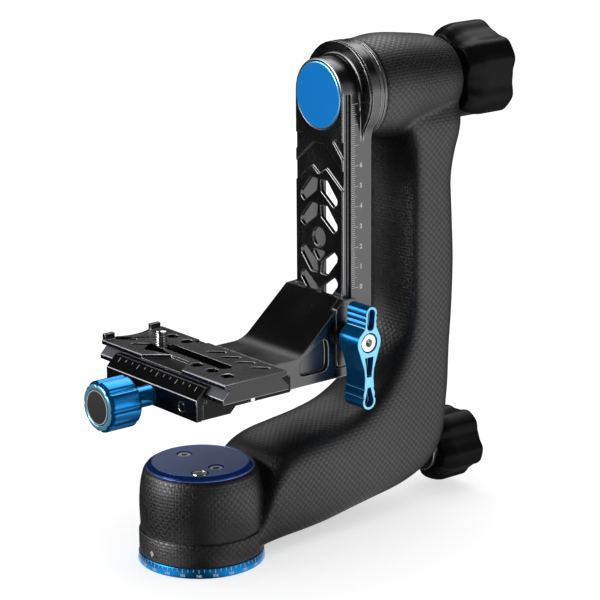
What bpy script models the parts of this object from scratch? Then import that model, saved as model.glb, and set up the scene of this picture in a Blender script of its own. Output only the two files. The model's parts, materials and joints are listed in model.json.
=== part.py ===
"""Gimbal tripod head: a one-sided side-mount head with a panning base, a moulded C-shaped arm,
a swing arm that hangs from the tilt shaft, and a sliding bracket that carries a quick-release clamp.

Frame: metres, +Z up. The pan axis is the Z axis through the origin, which lies on the underside of
the base. +Y runs from the pan axis to the elbow of the arm, and the tilt axis is parallel to it.
+X is the way the lens looks.
"""

import math

import bmesh
import bpy
from mathutils import Vector

MM = 0.001

# General fits
GAP = 0.3 * MM
OVERRUN = 3.0 * MM
WELD = 0.001 * MM
CORNER_SHARE = 0.45
FINE_STEPS = 36
MEDIUM_STEPS = 20
SMALL_STEPS = 12
PLATE_EDGE = 0.6 * MM

# Panning base with its degree scale
BASE_RADIUS = 30.5 * MM
BASE_TOP_RADIUS = 30.0 * MM
BASE_HEIGHT = 5.0 * MM
BASE_EDGE = 0.4 * MM

# Spindle that stands on the base, with the tripod socket in its foot
FOOT_RADIUS = 9.0 * MM
FLANGE_RADIUS = 19.0 * MM
FLANGE_THICK = 3.0 * MM
LOWER_JOURNAL_RADIUS = 15.0 * MM
BRAKE_RADIUS = 14.4 * MM
UPPER_JOURNAL_RADIUS = 9.0 * MM
STUB_RADIUS = 6.0 * MM
SOCKET_RADIUS = 4.3 * MM
SOCKET_DEPTH = 14.0 * MM
SPINDLE_NUT_RADIUS = 8.5 * MM
SPINDLE_NUT_HEIGHT = 3.2 * MM

# Screws from below that hold the spindle to the base
BASE_SCREW_CIRCLE = 13.0 * MM
BASE_SCREW_RADIUS = 1.5 * MM
BASE_SCREW_HEAD = 2.9 * MM
BASE_SCREW_SINK = 1.6 * MM
BASE_SCREW_COUNT = 3

# Bearings of the pan axis
LOWER_BEARING_RADIUS = 21.0 * MM
LOWER_BEARING_HEIGHT = 6.0 * MM
UPPER_BEARING_RADIUS = 17.0 * MM
UPPER_BEARING_HEIGHT = 6.0 * MM

# Drum of the arm round the pan axis
DRUM_BAND_RADIUS = 29.8 * MM
DRUM_BAND_TOP = 16.0 * MM
DRUM_BELLY_RADIUS = 29.4 * MM
DRUM_WAIST_RADIUS = 29.0 * MM
DRUM_GROOVE_RADIUS = 28.5 * MM
DRUM_GROOVE_HEIGHT = 0.8 * MM
DRUM_NECK_RADIUS = 26.0 * MM
DRUM_SHARES = ((0.0, 0.0), (0.3, 0.04), (0.5, 0.11), (0.82, 0.29), (1.0, 0.6))
DRUM_TOP = 46.2 * MM
DRUM_BORE_RADIUS = 24.0 * MM
DRUM_LIP_RADIUS = 22.6 * MM
DRUM_LIP_HEIGHT = 3.8 * MM
SLEEVE_WAIST_RADIUS = 18.6 * MM

# Cap on the drum, its two screws and the bubble level
CAP_RADIUS = 25.5 * MM
CAP_FACE_RADIUS = 22.3 * MM
CAP_RIM = 0.7 * MM
CAP_THICK = 1.9 * MM
CAP_PLUG_DEPTH = 2.0 * MM
CAP_SCREW_RADIUS = 1.6 * MM
CAP_SCREW_HEAD = 3.3 * MM
CAP_SCREW_SINK = 1.8 * MM
CAP_SCREW_LENGTH = 10.5 * MM
CAP_SCREW_DROP = 0.2 * MM
CAP_SCREW_CIRCLE = 12.5 * MM
CAP_SCREW_TURNS = (180.0, 0.0)
LEVEL_CIRCLE = 18.2 * MM
LEVEL_TURN = -37.5
LEVEL_RADIUS = 3.9 * MM
LEVEL_GLASS_RADIUS = 2.6 * MM
LEVEL_DEPTH = 2.6 * MM
LEVEL_RISE = 0.3 * MM

# Lock of the pan axis: knob, rod, bush and shoe
PAN_LOCK_HEIGHT = 22.9 * MM
ROD_RADIUS = 3.0 * MM
SHOE_RADIUS = 4.5 * MM
SHOE_BACK = 22.0 * MM
PAN_BUSH_RADIUS = 7.0 * MM
PAN_BUSH_FRONT = 118.0 * MM
PAN_COLLAR_RADIUS = 11.0 * MM
PAN_COLLAR_THICK = 3.0 * MM
PAN_BUSH_BACK = 142.8 * MM
PAN_KNOB_START = 143.4 * MM
PAN_KNOB_LENGTH = 25.2 * MM
PAN_KNOB_RADIUS = 18.6 * MM
PAN_KNOB_PHASE = 3.0

# Arm from the drum to the top of the upright
ARM_HALF_WIDTH = 19.6 * MM
ARM_ROOT_HALF_WIDTH = 26.5 * MM
ARM_SQUARENESS = 3.6
ARM_FRONT = 120.3 * MM
ARM_BACK = 148.2 * MM
ARM_ELBOW_HEIGHT = 60.0 * MM
ARM_RING_POINTS = 24

# Sections of the arm: inner place, outer place and width, as shares of the drum, the reach and the upright
ROOT_SHARES = (
    (0.10, 0.33, 0.10, 0.0, 1.0),
    (0.46, 0.35, 0.50, 0.0, 0.955),
    (0.65, 0.52, 0.80, 0.0, 0.90),
    (0.84, 0.80, 1.07, 0.0, 0.84),
    (1.06, 0.995, 1.34, 0.01, 0.79),
)
REACH_SHARES = (
    (0.135, 0.83, 0.22, 0.025, 1.02),
    (0.29, 0.865, 0.36, 0.043, 1.0),
    (0.45, 0.89, 0.51, 0.075, 1.0),
    (0.60, 0.93, 0.685, 0.105, 1.0),
    (0.71, 1.0, 0.855, 0.13, 1.0),
    (0.79, 1.095, 0.985, 0.17, 1.0),
    (0.845, 1.19, 1.105, 0.235, 1.0),
    (0.89, 1.30, 1.20, 0.345, 1.0),
    (0.925, 1.41, 1.25, 0.51, 1.0),
    (0.955, 1.52, 1.264, 0.72, 1.0),
    (0.978, 1.64, 1.275, 0.91, 1.0),
)
UPRIGHT_SHARES = (
    (0.03, 0.31, -0.085, 0.13, 1.0),
    (0.0, 0.39, -0.03, 0.26, 1.0),
    (0.0, 0.50, 0.0, 0.43, 1.0),
    (0.0, 0.61, -0.045, 0.60, 1.0),
    (0.0, 0.70, -0.08, 0.71, 1.0),
    (0.05, 0.775, -0.035, 0.795, 1.0),
    (0.13, 0.845, 0.05, 0.86, 1.0),
    (0.26, 0.91, 0.12, 0.91, 0.97),
    (0.36, 1.0, 0.11, 1.0, 0.88),
)

# Tilt axis and the barrel of the arm round it
TILT_HEIGHT = 215.3 * MM
ARM_TOP = TILT_HEIGHT - 3.3 * MM
BARREL_FRONT = 96.9 * MM
BARREL_BACK = 151.5 * MM
BARREL_RADIUS = 25.5 * MM
BARREL_TAIL_RADIUS = 18.3 * MM
BARREL_SHARES = (
    (-0.05, 0.0),
    (0.18, 0.05),
    (0.46, 0.176),
    (0.69, 0.36),
    (0.93, 0.6),
    (1.0, 0.77),
    (0.89, 0.91),
    (0.83, 1.0),
)
END_RING_RADIUS = 24.5 * MM
END_RING_STEP_RADIUS = 23.9 * MM
END_RING_STEP = 94.9 * MM
TILT_SHAFT_RADIUS = 8.0 * MM
TILT_STUD_RADIUS = 5.0 * MM
TILT_BEARING_RADIUS = 16.0 * MM
TILT_BEARING_WIDTH = 9.0 * MM
TILT_SLEEVE_RADIUS = 19.0 * MM
TILT_SLEEVE_BACK = 144.0 * MM
TILT_WASHER_RADIUS = 12.5 * MM
TILT_WASHER_THICK = 2.2 * MM
TILT_KNOB_LENGTH = 28.4 * MM
TILT_KNOB_RADIUS = 24.5 * MM
TILT_KNOB_PHASE = -22.0
TILT_BUSH_RADIUS = 8.5 * MM
TILT_BUSH_LENGTH = 13.0 * MM
FRICTION_RADIUS = 22.0 * MM

# Lobed grip knobs
KNOB_LOBES = 5
KNOB_POINTS = 40
KNOB_WAIST_SHARE = 0.14
KNOB_CHAMFER_SHARE = 0.18
KNOB_SLOPE_SHARE = 0.42
KNOB_SHOULDER_SHARES = (0.35, 0.5)
KNOB_ROUND_SHARE = 0.3
KNOB_EDGE = 2.0 * MM

# Swing arm: a dovetail rail that hangs from a round hub
RAIL_FRONT = 73.9 * MM
RAIL_LIP = 2.3 * MM
RAIL_GROOVE = 3.0 * MM
RAIL_GROOVE_DEPTH = 2.2 * MM
RAIL_STEP = 85.3 * MM
RAIL_BACK = 92.1 * MM
RAIL_HALF_WIDTH = 17.7 * MM
RAIL_BOTTOM = 83.0 * MM
RAIL_CORNER = 2.0 * MM
RAIL_EDGE = 0.5 * MM
RAIL_GROOVE_RUNOUT = 2.0 * MM
RAIL_WEB = 2.0 * MM
CHANNEL_HALF_WIDTH = 14.3 * MM
CHANNEL_STEP = 83.6 * MM
CHANNEL_REAR_HALF_WIDTH = 16.2 * MM
CHANNEL_LOW = 88.0 * MM
CHANNEL_HIGH = 186.0 * MM
CHANNEL_ROUND = 4.0 * MM
HUB_RADIUS = 24.6 * MM
HUB_FLARE_RADIUS = 19.7 * MM
HUB_FLARE_LENGTH = 1.8 * MM
HUB_FLARE_SHARES = ((1.0, 0.0), (0.33, 0.35), (0.0, 1.0))
FLANGE_LIP = 0.5 * MM
FLANGE_GROOVE = 1.2 * MM
FLANGE_GROOVE_DEPTH = 1.1 * MM
HUB_FILLET = 14.0 * MM
DISC_RADIUS = 16.2 * MM
DISC_THICK = 1.6 * MM
DISC_STAND = 0.3 * MM
HUB_BORE_FRONT = 79.0 * MM
RAIL_STOP_RADIUS = 3.5 * MM
RAIL_STOP_HEIGHT = 1.8 * MM

# Truss of slanted windows in the rail
TRUSS_HEIGHT = 144.9 * MM
TRUSS_PITCH = 12.5 * MM
TRUSS_HOLE_RADIUS = 4.8 * MM
TRUSS_HOLE_RISE = 0.8 * MM
TRUSS_ROUND = 0.9 * MM
TRUSS_HALF_WIDTH = 13.6 * MM
TRUSS_DEPTH = 17.0 * MM
TRUSS_WINDOW_SHARES = ((0.07, 1.0), (0.46, 1.0), (1.0, 0.52), (1.0, 0.4), (0.82, 0.27), (0.13, 0.66))
TRUSS_MIDDLE_SHARES = ((-0.36, -0.33), (0.36, -0.33), (0.06, -0.62), (-0.06, -0.62))
CHEVRON_HEIGHT = 191.9 * MM
CHEVRON_DEPTH = 0.9 * MM
CHEVRON_RISE = 23.0 * MM
CHEVRON_SHARES = ((1.0, 1.0), (0.305, 0.5), (0.0, 0.652), (-0.305, 0.5), (-1.0, 1.0))
CHEVRON_TOP_SHARES = ((-1.0, 0.6), (-0.23, 0.0), (0.23, 0.0), (1.0, 0.6))
CHEVRON_CORNER_SHARES = ((1.0, 0.38), (0.58, -0.1), (0.66, -0.16), (1.0, -0.1))

# Bracket that slides on the rail
BRACKET_HALF_WIDTH = 22.0 * MM
BRACKET_BOTTOM = 81.0 * MM
BRACKET_TOP = 119.7 * MM
BRACKET_REAR = 79.2 * MM
BRACKET_CROWN = 71.0 * MM
BRACKET_HEEL = 43.5 * MM
BRACKET_LEDGE = BRACKET_BOTTOM + 14.3 * MM
BRACKET_LEDGE_FRONT = 27.3 * MM
BRACKET_FOOT_THICK = 4.1 * MM
BRACKET_FOOT_FRONT = -4.5 * MM
BRACKET_FILLET = 12.0 * MM
BRACKET_ROUND = 2.5 * MM
CHEEK_FRONT = 66.0 * MM
CHEEK_BOTTOM = 86.0 * MM
SIDE_POCKET_DEPTH = 2.5 * MM
SIDE_POCKET_MARGIN = 5.0 * MM
SIDE_POCKET_ROUND = 4.0 * MM

# Wing lever that draws the bracket's cheek against the rail
LEVER_DEPTH = 70.8 * MM
LEVER_HEIGHT = 102.1 * MM
LEVER_OUT = 41.0 * MM
LEVER_THICK = 14.0 * MM
LEVER_BOSS_RADIUS = 7.2 * MM
LEVER_TOP = 17.6 * MM
LEVER_BOTTOM = 33.2 * MM
LEVER_LEAN = 1.4 * MM
LEVER_NECK = 2.6 * MM
LEVER_TOP_TIP = 3.4 * MM
LEVER_BOTTOM_TIP = 4.0 * MM
LEVER_RIB_COUNT = 2
LEVER_RIB_DEPTH = 0.5 * MM
LEVER_WING_SHARES = ((0.7, 0.52), (0.8, 0.62))
LEVER_HEEL_SHARES = ((1.15, 0.45), (1.0, 0.6), (1.1, 0.72))
LEVER_WEDGE_SHARE = 0.58
LEVER_DROP_SHARE = 0.76
LEVER_WALL = 1.3 * MM
LEVER_POCKET_DEPTH = 4.0 * MM
LEVER_SCREW_RADIUS = 4.6 * MM
LEVER_SCREW_SINK = 3.4 * MM
LEVER_STUD_RADIUS = 2.5 * MM
LEVER_STUD_END = 2.0 * MM
LEVER_COLLAR_RADIUS = 6.0 * MM
HEX_KEY_RADIUS = 2.0 * MM
HEX_KEY_DEPTH = 2.2 * MM

# Quick-release clamp
CLAMP_HALF_LENGTH = 35.6 * MM
CLAMP_BOTTOM = 82.3 * MM
CLAMP_STEP_FRONT = -8.6 * MM
CLAMP_STEP_BACK = -5.4 * MM
CLAMP_FRONT = -24.6 * MM
CLAMP_SHELF = -22.4 * MM
CLAMP_SHELF_DROP = 2.0 * MM
CLAMP_REAR = 27.0 * MM
CLAMP_REAR_TOP = 97.8 * MM
CLAMP_REAR_SHOULDER = 93.0 * MM
CLAMP_REAR_CREST = 20.5 * MM
CLAMP_SCREW_RADIUS = 2.0 * MM
CLAMP_SCREW_HEAD = 3.8 * MM
CLAMP_SCREW_SINK = 2.4 * MM
CLAMP_SCREW_LENGTH = 8.0 * MM
CLAMP_SCREW_SPACING = 20.0 * MM
CLAMP_SCREW_PLACE = 10.0 * MM
JAW_OUTER = -28.0 * MM
JAW_SHOULDER = 92.4 * MM
JAW_BOTTOM = 82.0 * MM
JAW_CREST = -22.4 * MM
GUIDE_PIN_RADIUS = 2.0 * MM
GUIDE_PIN_PLACE = 24.0 * MM
GUIDE_PIN_BACK = -10.5 * MM
CLAMP_AXIS_HEIGHT = 87.0 * MM
DRAW_SCREW_RADIUS = 2.6 * MM
DRAW_SCREW_BACK = -10.0 * MM

# Fluted knob of the clamp
CLAMP_KNOB_FRONT = -58.5 * MM
CLAMP_KNOB_BACK = -40.6 * MM
CLAMP_KNOB_RADIUS = 12.2 * MM
CLAMP_KNOB_FLUTES = 8
CLAMP_KNOB_POINTS = 24
CLAMP_KNOB_FLUTE_SHARE = 0.1
CLAMP_KNOB_EDGE = 1.5 * MM
CLAMP_SHAFT_RADIUS = 5.0 * MM
CLAMP_KNOB_CAP_RADIUS = 8.2 * MM
CLAMP_KNOB_CAP_DEPTH = 1.2 * MM

# Lens plate with its dovetail
PLATE_HALF_LENGTH = 48.4 * MM
PLATE_TOP = 101.5 * MM
PLATE_THICK = 9.2 * MM
PLATE_CENTRE = -3.4 * MM
PLATE_HALF_WIDTH = 18.0 * MM
PLATE_NECK = 14.9 * MM
PLATE_FLANGE = 19.0 * MM
PLATE_RIM_THICK = 3.2 * MM
PLATE_FLANGE_THICK = 2.2 * MM
PLATE_LIP_HEIGHT = 3.0 * MM
PLATE_LIP_THICK = 2.6 * MM
PLATE_LIP_LENGTH = 5.8 * MM
PLATE_LIP_INSET = 2.8 * MM
PLATE_SCOOP_DEPTH = 2.5 * MM
PLATE_SLOT_HALF_LENGTH = PLATE_HALF_LENGTH - 19.9 * MM
PLATE_SLOT_HALF_WIDTH = 3.6 * MM
PLATE_RELIEF_DEPTH = 3.6 * MM
PLATE_RELIEF_HALF_WIDTH = 6.6 * MM
SLANT_LENGTH = 10.2 * MM
SLANT_WIDTH = 2.4 * MM
SLANT_PITCH = 11.0 * MM
SLANT_ANGLE = 45.0
HEX_RADIUS = 3.4 * MM
HEX_PITCH = 11.6 * MM
FRONT_ROW = -11.2 * MM
FRONT_SLANTS = (-41.0 * MM, 3)
FRONT_HEXES = (14.0 * MM, 3)
REAR_ROW = 7.9 * MM
REAR_SLANTS = (4.0 * MM, 4)
REAR_HEXES = (-31.0 * MM, 2)
FRONT_NOTCH = ((-18.5 * MM, 18.0 * MM), (-6.2 * MM, 7.9 * MM), 10.4 * MM)
REAR_NOTCH = ((-19.0 * MM, -10.0 * MM), (-17.0 * MM, -12.0 * MM), 4.0 * MM)
NOTCH_DEPTH = 1.6 * MM
STOP_PLACE = PLATE_HALF_LENGTH - 4.6 * MM
STOP_RADIUS = 2.2 * MM
STOP_DROP = 2.6 * MM
STOP_DEPTH = 3.0 * MM

# Camera screw in the plate's slot
SCREW_PLACE = -24.8 * MM
SCREW_RADIUS = 3.1 * MM
SCREW_RISE = 6.4 * MM
SCREW_HEAD_RADIUS = 5.6 * MM
SCREW_HEAD_THICK = 2.4 * MM
RETAINER_RADIUS = 5.2 * MM
RETAINER_THICK = 0.8 * MM

UPRIGHT = (0.0, 0.0, 0.0)
ALONG_X = (math.radians(90), 0.0, math.radians(90))
ALONG_Y = (math.radians(90), 0.0, 0.0)
TURNED_Y = (math.radians(-90), 0.0, 0.0)
TURNED_X = (0.0, math.radians(90), 0.0)


def clear_scene():
    for obj in list(bpy.data.objects):
        bpy.data.objects.remove(obj, do_unlink=True)


def new_collection(name, hidden=False):
    made = bpy.data.collections.new(name)
    made.hide_render = hidden
    bpy.context.scene.collection.children.link(made)
    return made


def new_material(name, colour, roughness, metallic=0.0):
    made = bpy.data.materials.new(name)
    made.use_nodes = True
    shader = made.node_tree.nodes["Principled BSDF"]
    shader.inputs["Base Color"].default_value = (*colour, 1.0)
    shader.inputs["Roughness"].default_value = roughness
    shader.inputs["Metallic"].default_value = metallic
    return made


clear_scene()
PARTS = new_collection("gimbal_head")
CUTTERS = new_collection("cutters", hidden=True)

CARBON = new_material("carbon_moulding", (0.03, 0.03, 0.03), 0.42)
BLACK = new_material("black_anodised", (0.02, 0.02, 0.022), 0.38, 0.6)
BLUE = new_material("blue_anodised", (0.02, 0.25, 0.75), 0.28, 0.9)
NAVY = new_material("navy_anodised", (0.03, 0.05, 0.18), 0.35, 0.7)
RUBBER = new_material("grip_rubber", (0.015, 0.015, 0.016), 0.6)
STEEL = new_material("bright_steel", (0.7, 0.7, 0.72), 0.22, 1.0)
ALUMINIUM = new_material("plain_aluminium", (0.6, 0.6, 0.62), 0.35, 1.0)
BRASS = new_material("brass", (0.75, 0.58, 0.25), 0.3, 1.0)
FRICTION = new_material("friction_polymer", (0.25, 0.24, 0.22), 0.6)
GLASS = new_material("level_glass", (0.75, 0.85, 0.5), 0.1)


def new_body(name, location):
    """An empty on the joint axis, which carries the pieces of one moving body."""
    empty = bpy.data.objects.new(name, None)
    empty.empty_display_size = OVERRUN
    empty.location = location
    PARTS.objects.link(empty)
    return empty


PAN_LOCK_AXIS = (0.0, PAN_BUSH_BACK, PAN_LOCK_HEIGHT)
TILT_AXIS = (0.0, RAIL_BACK, TILT_HEIGHT)
LEVER_AXIS = (BRACKET_HALF_WIDTH, LEVER_DEPTH, LEVER_HEIGHT)
CLAMP_AXIS = (0.0, CLAMP_KNOB_BACK, CLAMP_AXIS_HEIGHT)
SCREW_AXIS = (SCREW_PLACE, PLATE_CENTRE, PLATE_TOP)

BASE_BODY = new_body("base_body", (0.0, 0.0, 0.0))
ARM_BODY = new_body("arm_body", (0.0, 0.0, 0.0))
PAN_KNOB_BODY = new_body("pan_knob_body", PAN_LOCK_AXIS)
TILT_KNOB_BODY = new_body("tilt_knob_body", (0.0, BARREL_BACK, TILT_HEIGHT))
SWING_BODY = new_body("swing_arm_body", TILT_AXIS)
BRACKET_BODY = new_body("bracket_body", (0.0, RAIL_FRONT, BRACKET_BOTTOM))
CHEEK_BODY = new_body("bracket_cheek_body", LEVER_AXIS)
LEVER_BODY = new_body("lever_body", LEVER_AXIS)
JAW_BODY = new_body("front_jaw_body", (0.0, CLAMP_FRONT, CLAMP_AXIS_HEIGHT))
CLAMP_KNOB_BODY = new_body("clamp_knob_body", CLAMP_AXIS)
PLATE_BODY = new_body("lens_plate_body", (0.0, PLATE_CENTRE, PLATE_TOP))
RETAINER_BODY = new_body("screw_retainer_body", SCREW_AXIS)
SCREW_BODY = new_body("camera_screw_body", SCREW_AXIS)


def place(obj, body, location=(0.0, 0.0, 0.0), turn=UPRIGHT):
    """Hangs the object on its body, at a location given in the part's own frame."""
    obj.parent = body
    obj.location = Vector(location) - body.location
    obj.rotation_euler = turn
    return obj


def finish(obj, material, body, location=(0.0, 0.0, 0.0), turn=UPRIGHT):
    obj.data.materials.append(material)
    PARTS.objects.link(obj)
    return place(obj, body, location, turn)


def apply_boolean(target, other, operation):
    other.hide_render = True
    other.display_type = "WIRE"
    CUTTERS.objects.link(other)
    modifier = target.modifiers.new(other.name, "BOOLEAN")
    modifier.operation = operation
    modifier.solver = "EXACT"
    modifier.object = other


def cut(target, cutter, body, location=(0.0, 0.0, 0.0), turn=UPRIGHT):
    place(cutter, body, location, turn)
    apply_boolean(target, cutter, "DIFFERENCE")


def join(target, other, body, location=(0.0, 0.0, 0.0), turn=UPRIGHT):
    place(other, body, location, turn)
    apply_boolean(target, other, "UNION")


def circle(radius, count=24, centre=(0.0, 0.0), start=0.0):
    turns = [start + 2 * math.pi * k / count for k in range(count)]
    return [(centre[0] + radius * math.cos(t), centre[1] + radius * math.sin(t)) for t in turns]


def arc(centre, radius, start, end, steps):
    """Points on an arc between two angles in degrees."""
    turns = [math.radians(start + (end - start) * k / steps) for k in range(steps + 1)]
    return [(centre[0] + radius * math.cos(t), centre[1] + radius * math.sin(t)) for t in turns]


def rounded(points, radius, steps=3):
    """The outline with each corner made an arc that touches both of its sides."""
    made = []
    count = len(points)
    for k, point in enumerate(points):
        corner = Vector(point)
        to_last = Vector(points[k - 1]) - corner
        to_next = Vector(points[(k + 1) % count]) - corner
        angle = to_last.angle(to_next)
        if math.pi - angle < math.radians(8):
            made.append(tuple(corner))
            continue
        limit = CORNER_SHARE * min(to_last.length, to_next.length)
        reach = min(radius / math.tan(angle / 2), limit)
        start = corner + to_last.normalized() * reach
        end = corner + to_next.normalized() * reach
        for step in range(steps + 1):
            share = step / steps
            first = start.lerp(corner, share)
            second = corner.lerp(end, share)
            made.append(tuple(first.lerp(second, share)))
    return made


def slot_outline(length, width, centre, angle, steps=4):
    """A slot with round ends, turned by an angle in degrees."""
    reach = (length - width) / 2
    ends = arc((reach, 0.0), width / 2, -90, 90, steps) + arc((-reach, 0.0), width / 2, 90, 270, steps)
    c, s = math.cos(math.radians(angle)), math.sin(math.radians(angle))
    return [(centre[0] + x * c - y * s, centre[1] + x * s + y * c) for x, y in ends]


def turned(name, profile, steps=40, ring=False):
    """A profile of (radius, height) points turned round local Z, listed down its outer side."""
    mesh = bpy.data.meshes.new(name)
    edges = [(k, k + 1) for k in range(len(profile) - 1)]
    if ring:
        edges.append((len(profile) - 1, 0))
    mesh.from_pydata([(radius, 0.0, height) for radius, height in profile], edges, [])
    obj = bpy.data.objects.new(name, mesh)
    screw = obj.modifiers.new("turn", "SCREW")
    screw.steps = steps
    screw.render_steps = steps
    screw.use_merge_vertices = True
    screw.merge_threshold = WELD
    screw.use_smooth_shade = True
    return obj


def rod(name, radius, low, high, steps=24, edge=0.0):
    """A plain round bar along local Z, with bevelled ends if an edge is given."""
    if edge:
        profile = [(0.0, high), (radius - edge, high), (radius, high - edge)]
        profile += [(radius, low + edge), (radius - edge, low), (0.0, low)]
    else:
        profile = [(0.0, high), (radius, high), (radius, low), (0.0, low)]
    return turned(name, profile, steps)


def tube(name, bore, radius, low, high, steps=32, edge=0.0):
    """A round ring along local Z, with its outer edges bevelled if an edge is given."""
    profile = [(bore, high), (radius - edge, high), (radius, high - edge)]
    profile += [(radius, low + edge), (radius - edge, low), (bore, low)]
    if not edge:
        profile = [(bore, high), (radius, high), (radius, low), (bore, low)]
    return turned(name, profile, steps, ring=True)


def flat(name, loops, low, high):
    """Closed loops filled as one flat shape with its holes, from low to high along local Z."""
    curve = bpy.data.curves.new(name, "CURVE")
    curve.dimensions = "2D"
    curve.fill_mode = "BOTH"
    curve.extrude = (high - low) / 2
    for loop in loops:
        spline = curve.splines.new("POLY")
        spline.points.add(len(loop) - 1)
        for point, (x, y) in zip(spline.points, loop):
            point.co = (x, y, 0.0, 1.0)
        spline.use_cyclic_u = True
    drawn = bpy.data.objects.new(name + "_outline", curve)
    bpy.context.scene.collection.objects.link(drawn)
    bpy.context.view_layer.update()
    graph = bpy.context.evaluated_depsgraph_get()
    mesh = bpy.data.meshes.new_from_object(drawn.evaluated_get(graph))
    bpy.data.objects.remove(drawn)
    solid = bmesh.new()
    solid.from_mesh(mesh)
    bmesh.ops.remove_doubles(solid, verts=solid.verts, dist=WELD)
    bmesh.ops.translate(solid, verts=solid.verts, vec=(0.0, 0.0, (low + high) / 2))
    bmesh.ops.recalc_face_normals(solid, faces=solid.faces)
    solid.to_mesh(mesh)
    solid.free()
    mesh.name = name
    return bpy.data.objects.new(name, mesh)


def along_y(name, loops, front, back):
    """A flat shape drawn in X and Z, from front to back along +Y, to be turned by ALONG_Y."""
    return flat(name, loops, -back, -front)


def box(name, low, high):
    """A box between two corners of the part's own frame."""
    mesh = bpy.data.meshes.new(name)
    solid = bmesh.new()
    bmesh.ops.create_cube(solid, size=1.0)
    size = Vector(high) - Vector(low)
    bmesh.ops.scale(solid, verts=solid.verts, vec=size)
    bmesh.ops.translate(solid, verts=solid.verts, vec=(Vector(high) + Vector(low)) / 2)
    solid.to_mesh(mesh)
    solid.free()
    return bpy.data.objects.new(name, mesh)


def loft(name, rings):
    """A closed skin through rings with the same number of points, capped at both ends."""
    mesh = bpy.data.meshes.new(name)
    solid = bmesh.new()
    rows = [[solid.verts.new(point) for point in ring] for ring in rings]
    count = len(rows[0])
    for first, second in zip(rows, rows[1:]):
        for k in range(count):
            after = (k + 1) % count
            solid.faces.new((first[k], first[after], second[after], second[k]))
    solid.faces.new(rows[0])
    solid.faces.new(rows[-1])
    bmesh.ops.remove_doubles(solid, verts=solid.verts, dist=WELD)
    bmesh.ops.recalc_face_normals(solid, faces=solid.faces)
    solid.to_mesh(mesh)
    solid.free()
    mesh.shade_smooth()
    mesh.set_sharp_from_angle(angle=math.radians(35))
    return bpy.data.objects.new(name, mesh)


def hex_key(name, depth, top, radius=HEX_KEY_RADIUS):
    return flat(name, [circle(radius, 6)], top - depth, top + OVERRUN)


def build_base():
    profile = [(FOOT_RADIUS + GAP, BASE_HEIGHT), (BASE_TOP_RADIUS - BASE_EDGE, BASE_HEIGHT)]
    profile += [(BASE_TOP_RADIUS, BASE_HEIGHT - BASE_EDGE), (BASE_RADIUS, BASE_EDGE)]
    profile += [(BASE_RADIUS - BASE_EDGE, 0.0), (FOOT_RADIUS + GAP, 0.0)]
    base = turned("panning_base", profile, FINE_STEPS, ring=True)
    finish(base, BLUE, BASE_BODY)

    flange_low = BASE_HEIGHT + GAP
    flange_high = flange_low + FLANGE_THICK
    brake_low = flange_high + LOWER_BEARING_HEIGHT + GAP
    upper_low = PAN_LOCK_HEIGHT + SHOE_RADIUS + 2 * GAP
    stub_low = upper_low + UPPER_BEARING_HEIGHT + GAP
    stub_high = stub_low + SPINDLE_NUT_HEIGHT + GAP
    profile = [(0.0, stub_high), (STUB_RADIUS, stub_high), (STUB_RADIUS, stub_low)]
    profile += [(UPPER_JOURNAL_RADIUS, stub_low), (UPPER_JOURNAL_RADIUS, upper_low)]
    profile += [(BRAKE_RADIUS, upper_low), (BRAKE_RADIUS, brake_low)]
    profile += [(LOWER_JOURNAL_RADIUS, brake_low), (LOWER_JOURNAL_RADIUS, flange_high)]
    profile += [(FLANGE_RADIUS, flange_high), (FLANGE_RADIUS, flange_low)]
    profile += [(FOOT_RADIUS, flange_low), (FOOT_RADIUS, 0.0)]
    profile += [(SOCKET_RADIUS, 0.0), (SOCKET_RADIUS, SOCKET_DEPTH), (0.0, SOCKET_DEPTH)]
    spindle = turned("pan_spindle", profile, MEDIUM_STEPS)
    finish(spindle, ALUMINIUM, BASE_BODY)

    outlines = [circle(SPINDLE_NUT_RADIUS, 6), circle(STUB_RADIUS + GAP, MEDIUM_STEPS)]
    nut = flat("spindle_nut", outlines, 0.0, SPINDLE_NUT_HEIGHT)
    finish(nut, STEEL, BASE_BODY, (0.0, 0.0, stub_low + GAP))

    for k in range(BASE_SCREW_COUNT):
        turn = 2 * math.pi * k / BASE_SCREW_COUNT
        at = (BASE_SCREW_CIRCLE * math.cos(turn), BASE_SCREW_CIRCLE * math.sin(turn), 0.0)
        top = flange_high - GAP
        head = BASE_SCREW_HEAD
        neck = BASE_SCREW_RADIUS
        sink = BASE_SCREW_SINK
        profile = [(0.0, top), (neck, top), (neck, sink), (head, GAP), (0.0, GAP)]
        screw = turned(f"base_screw_{k + 1}", profile, SMALL_STEPS)
        finish(screw, STEEL, BASE_BODY, at)
        profile = [(0.0, flange_high + OVERRUN), (neck + GAP, flange_high + OVERRUN)]
        profile += [(neck + GAP, sink + GAP), (head + GAP, 0.0), (head + GAP, -OVERRUN), (0.0, -OVERRUN)]
        cut(base, turned(f"base_screw_hole_{k + 1}", profile, SMALL_STEPS), BASE_BODY, at)
        name = f"flange_screw_hole_{k + 1}"
        hole = rod(name, neck + GAP, flange_low - GAP, flange_high + GAP / 2, SMALL_STEPS)
        cut(spindle, hole, BASE_BODY, at)


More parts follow.
